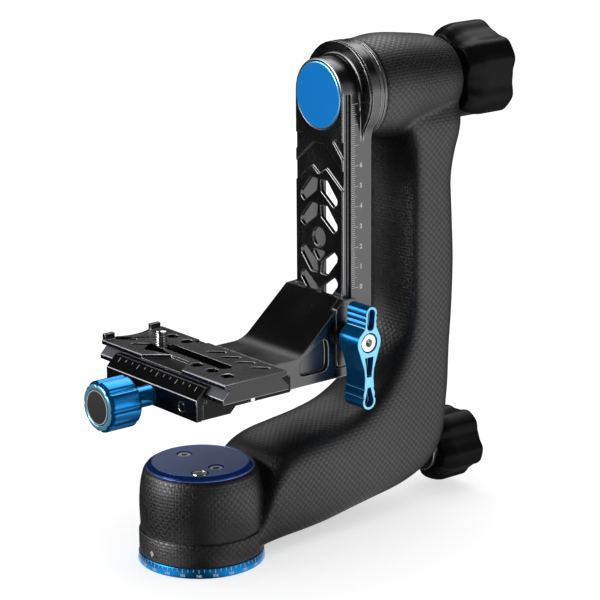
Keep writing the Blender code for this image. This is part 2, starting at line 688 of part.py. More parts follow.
def build_pan_bearings():
    low = BASE_HEIGHT + GAP + FLANGE_THICK + GAP
    lower = tube(
        "pan_bearing_lower",
        LOWER_JOURNAL_RADIUS + GAP,
        LOWER_BEARING_RADIUS,
        low,
        low + LOWER_BEARING_HEIGHT - GAP,
        MEDIUM_STEPS,
    )
    finish(lower, STEEL, ARM_BODY)
    start = PAN_LOCK_HEIGHT + SHOE_RADIUS + 3 * GAP
    upper = tube(
        "pan_bearing_upper",
        UPPER_JOURNAL_RADIUS + GAP,
        UPPER_BEARING_RADIUS,
        start,
        start + UPPER_BEARING_HEIGHT - GAP,
        MEDIUM_STEPS,
    )
    finish(upper, STEEL, ARM_BODY)

    bottom = BASE_HEIGHT + 2 * GAP
    middle = low + LOWER_BEARING_HEIGHT
    top = DRUM_TOP - DRUM_LIP_HEIGHT
    web = start + UPPER_BEARING_HEIGHT
    profile = [(SPINDLE_NUT_RADIUS + PLATE_EDGE, top), (DRUM_BORE_RADIUS, top), (DRUM_BORE_RADIUS, bottom)]
    profile += [(LOWER_BEARING_RADIUS + GAP, bottom), (LOWER_BEARING_RADIUS + GAP, middle)]
    profile += [(SLEEVE_WAIST_RADIUS, middle), (SLEEVE_WAIST_RADIUS, start - GAP)]
    profile += [(UPPER_BEARING_RADIUS + GAP, start - GAP), (UPPER_BEARING_RADIUS + GAP, web)]
    profile += [(SPINDLE_NUT_RADIUS + PLATE_EDGE, web)]
    sleeve = turned("drum_sleeve", profile, MEDIUM_STEPS, ring=True)
    finish(sleeve, ALUMINIUM, ARM_BODY)
    opening = rod("sleeve_shoe_hole", SHOE_RADIUS + GAP, 0.0, DRUM_BORE_RADIUS + OVERRUN, SMALL_STEPS)
    cut(sleeve, opening, ARM_BODY, (0.0, 0.0, PAN_LOCK_HEIGHT), TURNED_Y)
    for k, turn in enumerate(CAP_SCREW_TURNS):
        name = f"sleeve_screw_hole_{k + 1}"
        hole = rod(name, CAP_SCREW_RADIUS + GAP, -CAP_SCREW_LENGTH - GAP, 0.0, SMALL_STEPS)
        head_place = DRUM_TOP + GAP + CAP_THICK - CAP_SCREW_DROP
        cut(sleeve, hole, ARM_BODY, cap_place(CAP_SCREW_CIRCLE, turn, head_place))


def cap_place(circle_radius, turn, height):
    angle = math.radians(turn)
    return (circle_radius * math.cos(angle), circle_radius * math.sin(angle), height)


def arm_stations():
    """(inner y, inner z, outer y, outer z, half width) of each section, from the drum to the top."""
    low = BASE_HEIGHT + 2 * GAP
    length = ARM_FRONT - DRUM_BAND_RADIUS
    depth = ARM_BACK - ARM_FRONT
    upright = ARM_TOP - ARM_ELBOW_HEIGHT
    stations = []
    for inner_y, inner_z, outer_y, outer_z, width in ROOT_SHARES:
        stations.append(
            (
                inner_y * DRUM_BAND_RADIUS,
                inner_z * DRUM_TOP,
                outer_y * DRUM_BAND_RADIUS,
                low + outer_z * ARM_ELBOW_HEIGHT,
                width * ARM_ROOT_HALF_WIDTH,
            )
        )
    for inner_y, inner_z, outer_y, outer_z, width in REACH_SHARES:
        stations.append(
            (
                DRUM_BAND_RADIUS + inner_y * length,
                inner_z * ARM_ELBOW_HEIGHT,
                DRUM_BAND_RADIUS + outer_y * length,
                low + outer_z * ARM_ELBOW_HEIGHT,
                width * ARM_HALF_WIDTH,
            )
        )
    for inner_y, inner_z, outer_y, outer_z, width in UPRIGHT_SHARES:
        stations.append(
            (
                ARM_FRONT - inner_y * depth,
                ARM_ELBOW_HEIGHT + inner_z * upright,
                min(ARM_BACK + outer_y * depth, BARREL_BACK - GAP),
                ARM_ELBOW_HEIGHT + outer_z * upright,
                width * ARM_HALF_WIDTH,
            )
        )
    return stations


def section(inner, outer, half_width):
    """A rounded box section that spans from the inner to the outer point."""
    middle = (inner + outer) / 2
    reach = (outer - inner) / 2
    power = 2 / ARM_SQUARENESS
    ring = []
    for k in range(ARM_RING_POINTS):
        angle = 2 * math.pi * k / ARM_RING_POINTS
        c, s = math.cos(angle), math.sin(angle)
        across = math.copysign(abs(c) ** power, c) * half_width
        ring.append(middle + reach * math.copysign(abs(s) ** power, s) + Vector((across, 0.0, 0.0)))
    return ring


def drum_profile():
    """The drum round the pan axis, from its neck under the cap to the band at its foot."""
    groove_top = DRUM_BAND_TOP + DRUM_GROOVE_HEIGHT
    height = DRUM_TOP - groove_top
    swell = DRUM_BELLY_RADIUS - DRUM_NECK_RADIUS
    profile = [(0.0, DRUM_TOP)]
    for swell_share, drop_share in DRUM_SHARES:
        profile.append((DRUM_NECK_RADIUS + swell_share * swell, DRUM_TOP - drop_share * height))
    profile += [
        (DRUM_WAIST_RADIUS, groove_top),
        (DRUM_GROOVE_RADIUS, groove_top - DRUM_GROOVE_HEIGHT / 3),
        (DRUM_GROOVE_RADIUS, DRUM_BAND_TOP),
        (DRUM_BAND_RADIUS, DRUM_BAND_TOP - DRUM_GROOVE_HEIGHT),
        (DRUM_BAND_RADIUS, BASE_HEIGHT + GAP),
        (0.0, BASE_HEIGHT + GAP),
    ]
    return profile


def barrel_profile():
    """The barrel round the tilt axis, from its tail to its wide front, as (radius, place along Y)."""
    length = BARREL_BACK - BARREL_FRONT
    fall = BARREL_RADIUS - BARREL_TAIL_RADIUS
    profile = [(0.0, BARREL_BACK)]
    for rise_share, back_share in BARREL_SHARES:
        profile.append((BARREL_TAIL_RADIUS + rise_share * fall, BARREL_BACK - back_share * length))
    profile.append((0.0, BARREL_FRONT))
    return profile


def build_arm_shell():
    rings = []
    for inner_y, inner_z, outer_y, outer_z, half_width in arm_stations():
        inner = Vector((0.0, inner_y, inner_z))
        outer = Vector((0.0, outer_y, outer_z))
        rings.append(section(inner, outer, half_width))
    shell = loft("arm_shell", rings)
    finish(shell, CARBON, ARM_BODY)
    join(shell, turned("arm_drum", drum_profile(), FINE_STEPS), ARM_BODY)
    barrel = turned("arm_barrel", barrel_profile(), FINE_STEPS)
    join(shell, barrel, ARM_BODY, (0.0, 0.0, TILT_HEIGHT), TURNED_Y)

    lip = DRUM_TOP - DRUM_LIP_HEIGHT + GAP
    profile = [(0.0, DRUM_TOP + OVERRUN), (DRUM_LIP_RADIUS, DRUM_TOP + OVERRUN), (DRUM_LIP_RADIUS, lip)]
    profile += [(DRUM_BORE_RADIUS + GAP, lip), (DRUM_BORE_RADIUS + GAP, -OVERRUN), (0.0, -OVERRUN)]
    cut(shell, turned("drum_bore", profile, MEDIUM_STEPS), ARM_BODY)

    profile = [(0.0, BARREL_BACK + OVERRUN), (TILT_SHAFT_RADIUS + GAP, BARREL_BACK + OVERRUN)]
    profile += [(TILT_SHAFT_RADIUS + GAP, TILT_SLEEVE_BACK + GAP)]
    profile += [(TILT_SLEEVE_RADIUS + GAP, TILT_SLEEVE_BACK + GAP)]
    profile += [(TILT_SLEEVE_RADIUS + GAP, BARREL_FRONT - OVERRUN), (0.0, BARREL_FRONT - OVERRUN)]
    cut(shell, turned("barrel_bore", profile, MEDIUM_STEPS), ARM_BODY, (0.0, 0.0, TILT_HEIGHT), TURNED_Y)

    seat = PAN_BUSH_BACK - PAN_COLLAR_THICK - GAP
    profile = [(0.0, PAN_BUSH_BACK + OVERRUN), (PAN_COLLAR_RADIUS + GAP, PAN_BUSH_BACK + OVERRUN)]
    profile += [(PAN_COLLAR_RADIUS + GAP, seat), (PAN_BUSH_RADIUS + GAP, seat)]
    profile += [(PAN_BUSH_RADIUS + GAP, PAN_BUSH_FRONT - GAP), (ROD_RADIUS + GAP, PAN_BUSH_FRONT - GAP)]
    profile += [(ROD_RADIUS + GAP, 0.0), (0.0, 0.0)]
    bore = turned("lock_rod_bore", profile, MEDIUM_STEPS)
    cut(shell, bore, ARM_BODY, (0.0, 0.0, PAN_LOCK_HEIGHT), TURNED_Y)


def build_cap():
    low = DRUM_TOP + GAP
    top = low + CAP_THICK
    plug = DRUM_TOP - CAP_PLUG_DEPTH
    profile = [(0.0, top), (CAP_FACE_RADIUS, top), (CAP_RADIUS, low + CAP_RIM), (CAP_RADIUS, low)]
    profile += [(DRUM_LIP_RADIUS - GAP, low), (DRUM_LIP_RADIUS - GAP, plug), (0.0, plug)]
    cap = turned("drum_cap", profile, FINE_STEPS)
    finish(cap, NAVY, ARM_BODY)
    head, neck, sink = CAP_SCREW_HEAD, CAP_SCREW_RADIUS, CAP_SCREW_SINK
    end = CAP_SCREW_LENGTH
    for k, turn in enumerate(CAP_SCREW_TURNS):
        at = cap_place(CAP_SCREW_CIRCLE, turn, top - CAP_SCREW_DROP)
        profile = [(0.0, -GAP), (head, -GAP), (head, -GAP - PLATE_EDGE), (neck, -sink - GAP)]
        profile += [(neck, -end), (0.0, -end)]
        screw = turned(f"cap_screw_{k + 1}", profile, SMALL_STEPS)
        key = hex_key(f"cap_screw_key_{k + 1}", sink - PLATE_EDGE, -GAP, CAP_SCREW_RADIUS)
        cut(screw, key, ARM_BODY, at)
        finish(screw, STEEL, ARM_BODY, at)
        profile = [(0.0, OVERRUN), (head + GAP, OVERRUN), (head + GAP, -2 * GAP - PLATE_EDGE)]
        profile += [(neck + GAP, -sink - 2 * GAP), (neck + GAP, -end - OVERRUN), (0.0, -end - OVERRUN)]
        cut(cap, turned(f"cap_screw_hole_{k + 1}", profile, SMALL_STEPS), ARM_BODY, at)
    at = cap_place(LEVEL_CIRCLE, LEVEL_TURN, top)
    cut(cap, rod("level_pocket", LEVEL_RADIUS + GAP, -LEVEL_DEPTH - GAP, OVERRUN), ARM_BODY, at)
    floor = PLATE_EDGE - LEVEL_DEPTH
    profile = [(0.0, floor), (LEVEL_GLASS_RADIUS + GAP, floor), (LEVEL_GLASS_RADIUS + GAP, LEVEL_RISE)]
    profile += [(LEVEL_RADIUS - GAP, LEVEL_RISE), (LEVEL_RADIUS, 0.0), (LEVEL_RADIUS, -LEVEL_DEPTH)]
    profile += [(0.0, -LEVEL_DEPTH)]
    level = turned("bubble_level", profile, MEDIUM_STEPS)
    finish(level, STEEL, ARM_BODY, at)
    vial = rod("bubble_vial", LEVEL_GLASS_RADIUS, floor + GAP, 0.0, MEDIUM_STEPS)
    finish(vial, GLASS, ARM_BODY, at)


def knob_ring(radius, offset, lobes, points, waist_share, height, phase=0.0):
    """One outline of a lobed grip, drawn round local Z and drawn in by an offset."""
    ring = []
    for k in range(points):
        angle = 2 * math.pi * k / points
        wave = 0.5 - 0.5 * math.cos(lobes * angle)
        reach = radius * (1 - waist_share * wave * wave) - offset
        turn = angle + math.radians(phase)
        ring.append(Vector((reach * math.sin(turn), reach * math.cos(turn), height)))
    return ring


def grip_knob(name, radius, length, phase):
    """A lobed grip along local Z, chamfered on the side of the arm and rounded on its outer side."""
    chamfer = KNOB_CHAMFER_SHARE * radius
    slope = KNOB_SLOPE_SHARE * radius
    stations = [
        (chamfer, 0.0),
        (KNOB_SHOULDER_SHARES[0] * chamfer, KNOB_SHOULDER_SHARES[1] * slope),
        (0.0, slope),
        (0.0, length - KNOB_EDGE),
        (KNOB_ROUND_SHARE * KNOB_EDGE, length - KNOB_ROUND_SHARE * KNOB_EDGE),
        (KNOB_EDGE, length),
    ]
    rings = []
    for offset, height in stations:
        rings.append(knob_ring(radius, offset, KNOB_LOBES, KNOB_POINTS, KNOB_WAIST_SHARE, height, phase))
    return loft(name, rings)


def build_pan_lock():
    shoe = rod("pan_brake_shoe", SHOE_RADIUS, 0.0, SHOE_BACK, SMALL_STEPS)
    finish(shoe, BRASS, ARM_BODY, (0.0, 0.0, PAN_LOCK_HEIGHT), TURNED_Y)
    cut(shoe, rod("shoe_hollow", BRAKE_RADIUS + GAP, 0.0, DRUM_TOP, MEDIUM_STEPS), ARM_BODY)
    profile = [(ROD_RADIUS + GAP, PAN_BUSH_BACK), (PAN_COLLAR_RADIUS, PAN_BUSH_BACK)]
    profile += [(PAN_COLLAR_RADIUS, PAN_BUSH_BACK - PAN_COLLAR_THICK)]
    profile += [(PAN_BUSH_RADIUS, PAN_BUSH_BACK - PAN_COLLAR_THICK), (PAN_BUSH_RADIUS, PAN_BUSH_FRONT)]
    profile += [(ROD_RADIUS + GAP, PAN_BUSH_FRONT)]
    bush = turned("pan_lock_bush", profile, MEDIUM_STEPS, ring=True)
    finish(bush, BLACK, ARM_BODY, (0.0, 0.0, PAN_LOCK_HEIGHT), TURNED_Y)
    knob = grip_knob("pan_knob", PAN_KNOB_RADIUS, PAN_KNOB_LENGTH, PAN_KNOB_PHASE)
    at = (0.0, PAN_KNOB_START, PAN_LOCK_HEIGHT)
    depth = PAN_KNOB_LENGTH / 2
    bore = rod("pan_knob_bore", ROD_RADIUS + GAP, -OVERRUN, depth, SMALL_STEPS)
    cut(knob, bore, PAN_KNOB_BODY, at, TURNED_Y)
    finish(knob, RUBBER, PAN_KNOB_BODY, at, TURNED_Y)
    end = PAN_KNOB_START + depth - GAP
    lock_rod = rod("pan_lock_rod", ROD_RADIUS, SHOE_BACK + GAP, end, SMALL_STEPS)
    finish(lock_rod, STEEL, PAN_KNOB_BODY, (0.0, 0.0, PAN_LOCK_HEIGHT), TURNED_Y)


def build_tilt_axis():
    at = (0.0, 0.0, TILT_HEIGHT)
    groove = END_RING_STEP + 2 * GAP
    profile = [(TILT_SHAFT_RADIUS + GAP, BARREL_FRONT - GAP), (END_RING_RADIUS, BARREL_FRONT - GAP)]
    profile += [(END_RING_RADIUS, END_RING_STEP), (END_RING_STEP_RADIUS, END_RING_STEP)]
    start = RAIL_BACK + 2 * GAP
    profile += [(END_RING_STEP_RADIUS, start)]
    profile += [(FRICTION_RADIUS + GAP, start), (FRICTION_RADIUS + GAP, groove)]
    profile += [(TILT_SHAFT_RADIUS + GAP, groove)]
    ring = turned("tilt_end_ring", profile, FINE_STEPS, ring=True)
    finish(ring, BLACK, ARM_BODY, at, TURNED_Y)

    disc = tube(
        "tilt_friction_disc",
        TILT_SHAFT_RADIUS + GAP,
        FRICTION_RADIUS,
        RAIL_BACK + GAP,
        groove - GAP,
        MEDIUM_STEPS,
    )
    finish(disc, FRICTION, SWING_BODY, at, TURNED_Y)

    front = BARREL_FRONT + GAP
    sleeve_bore = TILT_BEARING_RADIUS + GAP
    profile = [(TILT_SHAFT_RADIUS + GAP, TILT_SLEEVE_BACK), (TILT_SLEEVE_RADIUS, TILT_SLEEVE_BACK)]
    profile += [(TILT_SLEEVE_RADIUS, front), (sleeve_bore, front)]
    profile += [(sleeve_bore, TILT_SLEEVE_BACK - PLATE_LIP_THICK)]
    profile += [(TILT_SHAFT_RADIUS + GAP, TILT_SLEEVE_BACK - PLATE_LIP_THICK)]
    sleeve = turned("tilt_sleeve", profile, MEDIUM_STEPS, ring=True)
    finish(sleeve, ALUMINIUM, ARM_BODY, at, TURNED_Y)

    starts = {
        "tilt_bearing_front": front,
        "tilt_bearing_rear": TILT_SLEEVE_BACK - PLATE_LIP_THICK - GAP - TILT_BEARING_WIDTH,
    }
    for name, start in starts.items():
        bearing = tube(
            name,
            TILT_SHAFT_RADIUS + GAP,
            TILT_BEARING_RADIUS,
            start,
            start + TILT_BEARING_WIDTH,
            MEDIUM_STEPS,
        )
        finish(bearing, STEEL, ARM_BODY, at, TURNED_Y)

    washer_low = BARREL_BACK + GAP
    washer = tube(
        "tilt_washer",
        TILT_STUD_RADIUS + GAP,
        TILT_WASHER_RADIUS,
        washer_low,
        washer_low + TILT_WASHER_THICK,
        MEDIUM_STEPS,
    )
    finish(washer, STEEL, TILT_KNOB_BODY, at, TURNED_Y)

    start = washer_low + TILT_WASHER_THICK + GAP
    knob = grip_knob("tilt_knob", TILT_KNOB_RADIUS, TILT_KNOB_LENGTH, TILT_KNOB_PHASE)
    knob_at = (0.0, start, TILT_HEIGHT)
    bore = rod("tilt_knob_bore", TILT_BUSH_RADIUS + GAP, -OVERRUN, TILT_BUSH_LENGTH + GAP, MEDIUM_STEPS)
    cut(knob, bore, TILT_KNOB_BODY, knob_at, TURNED_Y)
    finish(knob, RUBBER, TILT_KNOB_BODY, knob_at, TURNED_Y)
    inner = TILT_STUD_RADIUS + GAP
    bush = tube("tilt_knob_bush", inner, TILT_BUSH_RADIUS, 0.0, TILT_BUSH_LENGTH, MEDIUM_STEPS)
    finish(bush, BRASS, TILT_KNOB_BODY, knob_at, TURNED_Y)

    stud_start = TILT_SLEEVE_BACK
    stud_end = start + TILT_BUSH_LENGTH - GAP
    profile = [(0.0, stud_end), (TILT_STUD_RADIUS, stud_end), (TILT_STUD_RADIUS, stud_start)]
    profile += [(TILT_SHAFT_RADIUS, stud_start), (TILT_SHAFT_RADIUS, HUB_BORE_FRONT + GAP)]
    profile += [(0.0, HUB_BORE_FRONT + GAP)]
    shaft = turned("tilt_shaft", profile, MEDIUM_STEPS)
    finish(shaft, STEEL, SWING_BODY, at, TURNED_Y)


def hub_blend(half_width, hub_radius):
    """How far below the tilt axis the fillet between rail and hub starts, and the angle where it ends."""
    across = half_width + HUB_FILLET
    drop = math.sqrt((hub_radius + HUB_FILLET) ** 2 - across ** 2)
    return drop, math.degrees(math.atan2(-drop, across))


def rail_ring(depth, half_width, hub_radius, inset=0.0):
    """The hanging rail at one depth, with its round hub about the tilt axis at the top."""
    half = half_width - inset
    hub = hub_radius - inset
    low = RAIL_BOTTOM + inset
    reach = hub_blend(RAIL_HALF_WIDTH, HUB_RADIUS)[0]
    outline = [(-half, TILT_HEIGHT - reach), (-half, low + RAIL_CORNER), (-half + RAIL_CORNER, low)]
    outline += [(half - RAIL_CORNER, low), (half, low + RAIL_CORNER), (half, TILT_HEIGHT - reach)]
    steps = 4
    if hub > half + GAP:
        drop, turn = hub_blend(half, hub)
        blend = arc((half + HUB_FILLET, TILT_HEIGHT - drop), HUB_FILLET, 180, 180 + turn, steps)
    else:
        turn = 0.0
        blend = [(half, TILT_HEIGHT - reach * (1 - k / steps) / 2) for k in range(steps + 1)]
    mirrored = [(-x, z) for x, z in reversed(blend)]
    outline += blend[:-1] + arc((0.0, TILT_HEIGHT), hub, turn, 180 - turn, 24) + mirrored[1:]
    return [Vector((x, depth, z)) for x, z in outline]


def build_swing_plate():
    groove_start = RAIL_FRONT + RAIL_LIP
    groove_end = groove_start + RAIL_GROOVE
    half = RAIL_HALF_WIDTH
    edge = RAIL_EDGE
    lip_end = RAIL_STEP + FLANGE_LIP
    band_start = lip_end + FLANGE_GROOVE
    rings = [rail_ring(RAIL_FRONT, half, half, edge), rail_ring(RAIL_FRONT + edge, half, half)]
    for back_share, rise_share in HUB_FLARE_SHARES:
        radius = half + rise_share * (HUB_FLARE_RADIUS - half)
        rings.append(rail_ring(RAIL_STEP - back_share * HUB_FLARE_LENGTH, half, radius))
    rings += [
        rail_ring(RAIL_STEP, half, HUB_RADIUS),
        rail_ring(lip_end, half, HUB_RADIUS),
        rail_ring(lip_end, half, HUB_RADIUS - FLANGE_GROOVE_DEPTH),
        rail_ring(band_start, half, HUB_RADIUS - FLANGE_GROOVE_DEPTH),
        rail_ring(band_start, half, HUB_RADIUS),
        rail_ring(RAIL_BACK, half, HUB_RADIUS),
    ]
    plate = loft("swing_plate", rings)
    finish(plate, BLACK, SWING_BODY)
    for side in (-1, 1):
        low_x, high_x = sorted((side * (half - RAIL_GROOVE_DEPTH), side * (half + OVERRUN)))
        groove = box(
            f"rail_groove_{side + 2}",
            (low_x, groove_start, RAIL_BOTTOM - OVERRUN),
            (high_x, groove_end, TILT_HEIGHT + RAIL_GROOVE_RUNOUT),
        )
        cut(plate, groove, SWING_BODY)

    at = (0.0, 0.0, TILT_HEIGHT)
    pocket_end = RAIL_FRONT + DISC_THICK - DISC_STAND
    pocket = rod("disc_pocket", DISC_RADIUS + GAP, RAIL_FRONT - OVERRUN, pocket_end, FINE_STEPS)
    cut(plate, pocket, SWING_BODY, at, TURNED_Y)
    bore = rod("hub_bore", TILT_SHAFT_RADIUS + GAP, HUB_BORE_FRONT, RAIL_BACK + OVERRUN, MEDIUM_STEPS)
    cut(plate, bore, SWING_BODY, at, TURNED_Y)
    disc_low = RAIL_FRONT - DISC_STAND - GAP
    disc = rod("hub_disc", DISC_RADIUS, disc_low, disc_low + DISC_THICK, FINE_STEPS, GAP)
    finish(disc, BLUE, SWING_BODY, at, TURNED_Y)

    web = RAIL_FRONT + RAIL_WEB
    sides = ((CHANNEL_HALF_WIDTH, web), (CHANNEL_REAR_HALF_WIDTH, CHANNEL_STEP))
    for k, (width, start) in enumerate(sides):
        low, high = CHANNEL_LOW, CHANNEL_HIGH
        loop = rounded([(-width, low), (width, low), (width, high), (-width, high)], CHANNEL_ROUND)
        hollow = along_y(f"rail_hollow_{k + 1}", [loop], start, RAIL_BACK + OVERRUN)
        cut(plate, hollow, SWING_BODY, turn=ALONG_Y)
    chevrons = along_y("rail_chevrons", chevron_loops(), RAIL_FRONT - OVERRUN, RAIL_FRONT + CHEVRON_DEPTH)
    cut(plate, chevrons, SWING_BODY, turn=ALONG_Y)
    windows = along_y("rail_windows", truss_windows(), RAIL_FRONT - OVERRUN, web + OVERRUN)
    cut(plate, windows, SWING_BODY, turn=ALONG_Y)

    low = RAIL_BOTTOM - RAIL_STOP_HEIGHT - GAP
    middle = (groove_end + RAIL_BACK) / 2
    stop = rod("rail_stop_screw", RAIL_STOP_RADIUS, low, low + RAIL_STOP_HEIGHT, SMALL_STEPS, GAP)
    finish(stop, STEEL, SWING_BODY, (0.0, middle, 0.0))


def truss_windows():
    """Slanted windows in mirrored pairs above and below a round hole, and a pointed one under the hole."""
    loops = [circle(TRUSS_HOLE_RADIUS, 16, (0.0, TRUSS_HEIGHT + TRUSS_HOLE_RISE))]
    for side in (-1, 1):
        for above in (-1, 1):
            for row in range(2):
                window = []
                for across, rise in TRUSS_WINDOW_SHARES:
                    height = above * (rise * TRUSS_DEPTH + row * TRUSS_PITCH)
                    window.append((side * across * TRUSS_HALF_WIDTH, TRUSS_HEIGHT + height))
                loops.append(rounded(window, TRUSS_ROUND, 2))
    middle = []
    for across, rise in TRUSS_MIDDLE_SHARES:
        middle.append((across * TRUSS_HALF_WIDTH, TRUSS_HEIGHT + rise * TRUSS_DEPTH))
    loops.append(rounded(middle, TRUSS_ROUND, 2))
    return loops


def chevron_loops():
    """A shallow chevron across the front of the rail, below the hub, and a corner above it on each side."""

    def place(across, drop):
        reach = RAIL_HALF_WIDTH + (OVERRUN if abs(across) == 1 else 0.0)
        return (math.copysign(reach, across) * abs(across), CHEVRON_HEIGHT - drop * CHEVRON_RISE)

    loops = [[place(*shares) for shares in CHEVRON_SHARES + CHEVRON_TOP_SHARES]]
    for side in (-1, 1):
        loops.append([place(side * across, drop) for across, drop in CHEVRON_CORNER_SHARES])
    return loops


def bracket_side():
    """The bracket seen from its side, in Y and Z."""
    foot_top = BRACKET_BOTTOM + BRACKET_FOOT_THICK
    outline = [
        (BRACKET_FOOT_FRONT, BRACKET_BOTTOM),
        (BRACKET_REAR, BRACKET_BOTTOM),
        (BRACKET_REAR, BRACKET_TOP),
        (BRACKET_CROWN, BRACKET_TOP - PLATE_EDGE),
    ]
    heel = (BRACKET_HEEL, BRACKET_LEDGE)
    slope = Vector((BRACKET_CROWN, BRACKET_TOP)) - Vector(heel)
    start = Vector(heel) - Vector((BRACKET_FILLET / 2, 0.0))
    end = Vector(heel) + slope.normalized() * BRACKET_FILLET / 2
    bend = []
    for k in range(5):
        share = k / 4
        bend.append(tuple(end.lerp(Vector(heel), share).lerp(Vector(heel).lerp(start, share), share)))
    outline += bend
    outline += [
        (BRACKET_LEDGE_FRONT, BRACKET_LEDGE),
        (BRACKET_LEDGE_FRONT, foot_top),
        (BRACKET_FOOT_FRONT, foot_top),
    ]
    return outline


def build_bracket():
    half = BRACKET_HALF_WIDTH
    bracket = flat("bracket", [bracket_side()], -half, half)
    finish(bracket, BLACK, BRACKET_BODY, turn=ALONG_X)
    seat = RAIL_FRONT - GAP
    width = RAIL_HALF_WIDTH + GAP
    low = BRACKET_BOTTOM - OVERRUN
    high = BRACKET_TOP + OVERRUN
    channel = box("rail_channel", (-width, seat, low), (width, BRACKET_REAR + OVERRUN, high))
    cut(bracket, channel, BRACKET_BODY)
    recess = box(
        "cheek_recess",
        (width, CHEEK_FRONT, CHEEK_BOTTOM),
        (half + OVERRUN, BRACKET_REAR + OVERRUN, high),
    )
    cut(bracket, recess, BRACKET_BODY)
    join(bracket, rail_hook("fixed_hook", -1), BRACKET_BODY)
    at = (0.0, LEVER_DEPTH, LEVER_HEIGHT)
    hole = rod("stud_hole", LEVER_STUD_RADIUS + GAP, LEVER_STUD_END - GAP, half + OVERRUN, SMALL_STEPS)
    cut(bracket, hole, BRACKET_BODY, at, TURNED_X)

    margin = SIDE_POCKET_MARGIN
    pocket_low = BRACKET_BOTTOM + margin
    corners = [
        (BRACKET_HEEL, pocket_low),
        (CHEEK_FRONT - margin, pocket_low),
        (CHEEK_FRONT - margin, BRACKET_TOP - 3 * margin),
        (BRACKET_HEEL, BRACKET_LEDGE - margin / 2),
    ]
    for side in (-1, 1):
        face = side * half
        ends = sorted((face - side * SIDE_POCKET_DEPTH, face + side * OVERRUN))
        pocket = flat(f"side_pocket_{side + 2}", [rounded(corners, SIDE_POCKET_ROUND)], *ends)
        cut(bracket, pocket, BRACKET_BODY, turn=ALONG_X)

    for k, side in enumerate((-1, 1)):
        at = (side * CLAMP_SCREW_SPACING / 2, CLAMP_SCREW_PLACE, BRACKET_BOTTOM)
        head = CLAMP_SCREW_SINK
        profile = [(0.0, CLAMP_SCREW_LENGTH), (CLAMP_SCREW_RADIUS, CLAMP_SCREW_LENGTH)]
        profile += [(CLAMP_SCREW_RADIUS, head), (CLAMP_SCREW_HEAD, head)]
        profile += [(CLAMP_SCREW_HEAD, GAP), (0.0, GAP)]
        screw = turned(f"clamp_screw_{k + 1}", profile, SMALL_STEPS)
        finish(screw, STEEL, BRACKET_BODY, at)
        top = CLAMP_SCREW_LENGTH + GAP
        profile = [(0.0, top), (CLAMP_SCREW_RADIUS + GAP, top), (CLAMP_SCREW_RADIUS + GAP, head + GAP)]
        profile += [(CLAMP_SCREW_HEAD + GAP, head + GAP), (CLAMP_SCREW_HEAD + GAP, -OVERRUN)]
        profile += [(0.0, -OVERRUN)]
        cut(bracket, turned(f"foot_screw_hole_{k + 1}", profile, SMALL_STEPS), BRACKET_BODY, at)


def rail_hook(name, side):
    """The tongue of a cheek that reaches into the rail's groove."""
    start = RAIL_FRONT + RAIL_LIP + GAP
    end = start + RAIL_GROOVE - 2 * GAP
    inner = RAIL_HALF_WIDTH - RAIL_GROOVE_DEPTH + GAP
    outer = RAIL_HALF_WIDTH + GAP + PLATE_EDGE
    low, high = sorted((side * inner, side * outer))
    top = BRACKET_TOP - BRACKET_ROUND
    return box(name, (low, start, CHEEK_BOTTOM + GAP), (high, end, top))


def build_cheek():
    front = CHEEK_FRONT + GAP
    low = CHEEK_BOTTOM + GAP
    corners = [
        (front, low),
        (BRACKET_REAR, low),
        (BRACKET_REAR, BRACKET_TOP - PLATE_EDGE),
        (BRACKET_CROWN, BRACKET_TOP - PLATE_EDGE),
        (front, BRACKET_TOP - (BRACKET_CROWN - front)),
    ]
    inner = RAIL_HALF_WIDTH + 2 * GAP
    cheek = flat("bracket_cheek", [rounded(corners, BRACKET_ROUND)], inner, BRACKET_HALF_WIDTH)
    finish(cheek, BLACK, CHEEK_BODY, turn=ALONG_X)
    join(cheek, rail_hook("cheek_hook", 1), CHEEK_BODY)
    hole = rod("cheek_hole", LEVER_STUD_RADIUS + GAP, 0.0, BRACKET_HALF_WIDTH + OVERRUN, SMALL_STEPS)
    cut(cheek, hole, CHEEK_BODY, (0.0, LEVER_DEPTH, LEVER_HEIGHT), TURNED_X)


def ribbed(start, end, count, depth):
    """A side from start to end with shallow grooves across it, cut towards the middle plane."""
    points = [start]
    inward = -math.copysign(depth, start[0])
    for k in range(count):
        for share, drop in ((0.2, 0.0), (0.5, inward), (0.8, 0.0)):
            along = (k + share) / count
            across = start[0] + (end[0] - start[0]) * along + drop
            points.append((across, start[1] + (end[1] - start[1]) * along))
    return points + [end]


def lever_outline():
    """The wing lever seen from its outer face, in Y and Z about its screw."""
    boss, neck, lean, tip = LEVER_BOSS_RADIUS, LEVER_NECK, LEVER_LEAN, LEVER_TOP_TIP
    top = LEVER_TOP - LEVER_TOP_TIP
    bottom = LEVER_BOTTOM - LEVER_BOTTOM_TIP
    ribs = (LEVER_RIB_COUNT, LEVER_RIB_DEPTH)
    (waist_lean, waist), (rib_lean, rib_start) = LEVER_WING_SHARES
    right = arc((0.0, 0.0), boss, -30, 30, 5)
    right.append((tip + waist_lean * lean, waist * top))
    right += ribbed((tip + rib_lean * lean, rib_start * top), (tip + lean, top), *ribs)
    crown = arc((lean, top), tip, 0, 180, 8)[1:-1]
    left = ribbed((lean - tip, top), (rib_lean * lean - tip, rib_start * top), *ribs)
    left += [(waist_lean * lean - tip, waist * top)] + arc((0.0, 0.0), boss, 150, 210, 5)
    heel = [(-across * neck, -down * bottom) for across, down in LEVER_HEEL_SHARES]
    tip = LEVER_BOTTOM_TIP
    heel = heel[:-1] + ribbed(heel[-1], (-tip, -bottom), *ribs)
    foot = arc((0.0, -bottom), tip, 180, 360, 8)[1:-1]
    return right + crown + left + heel + foot + [(-x, z) for x, z in reversed(heel)]


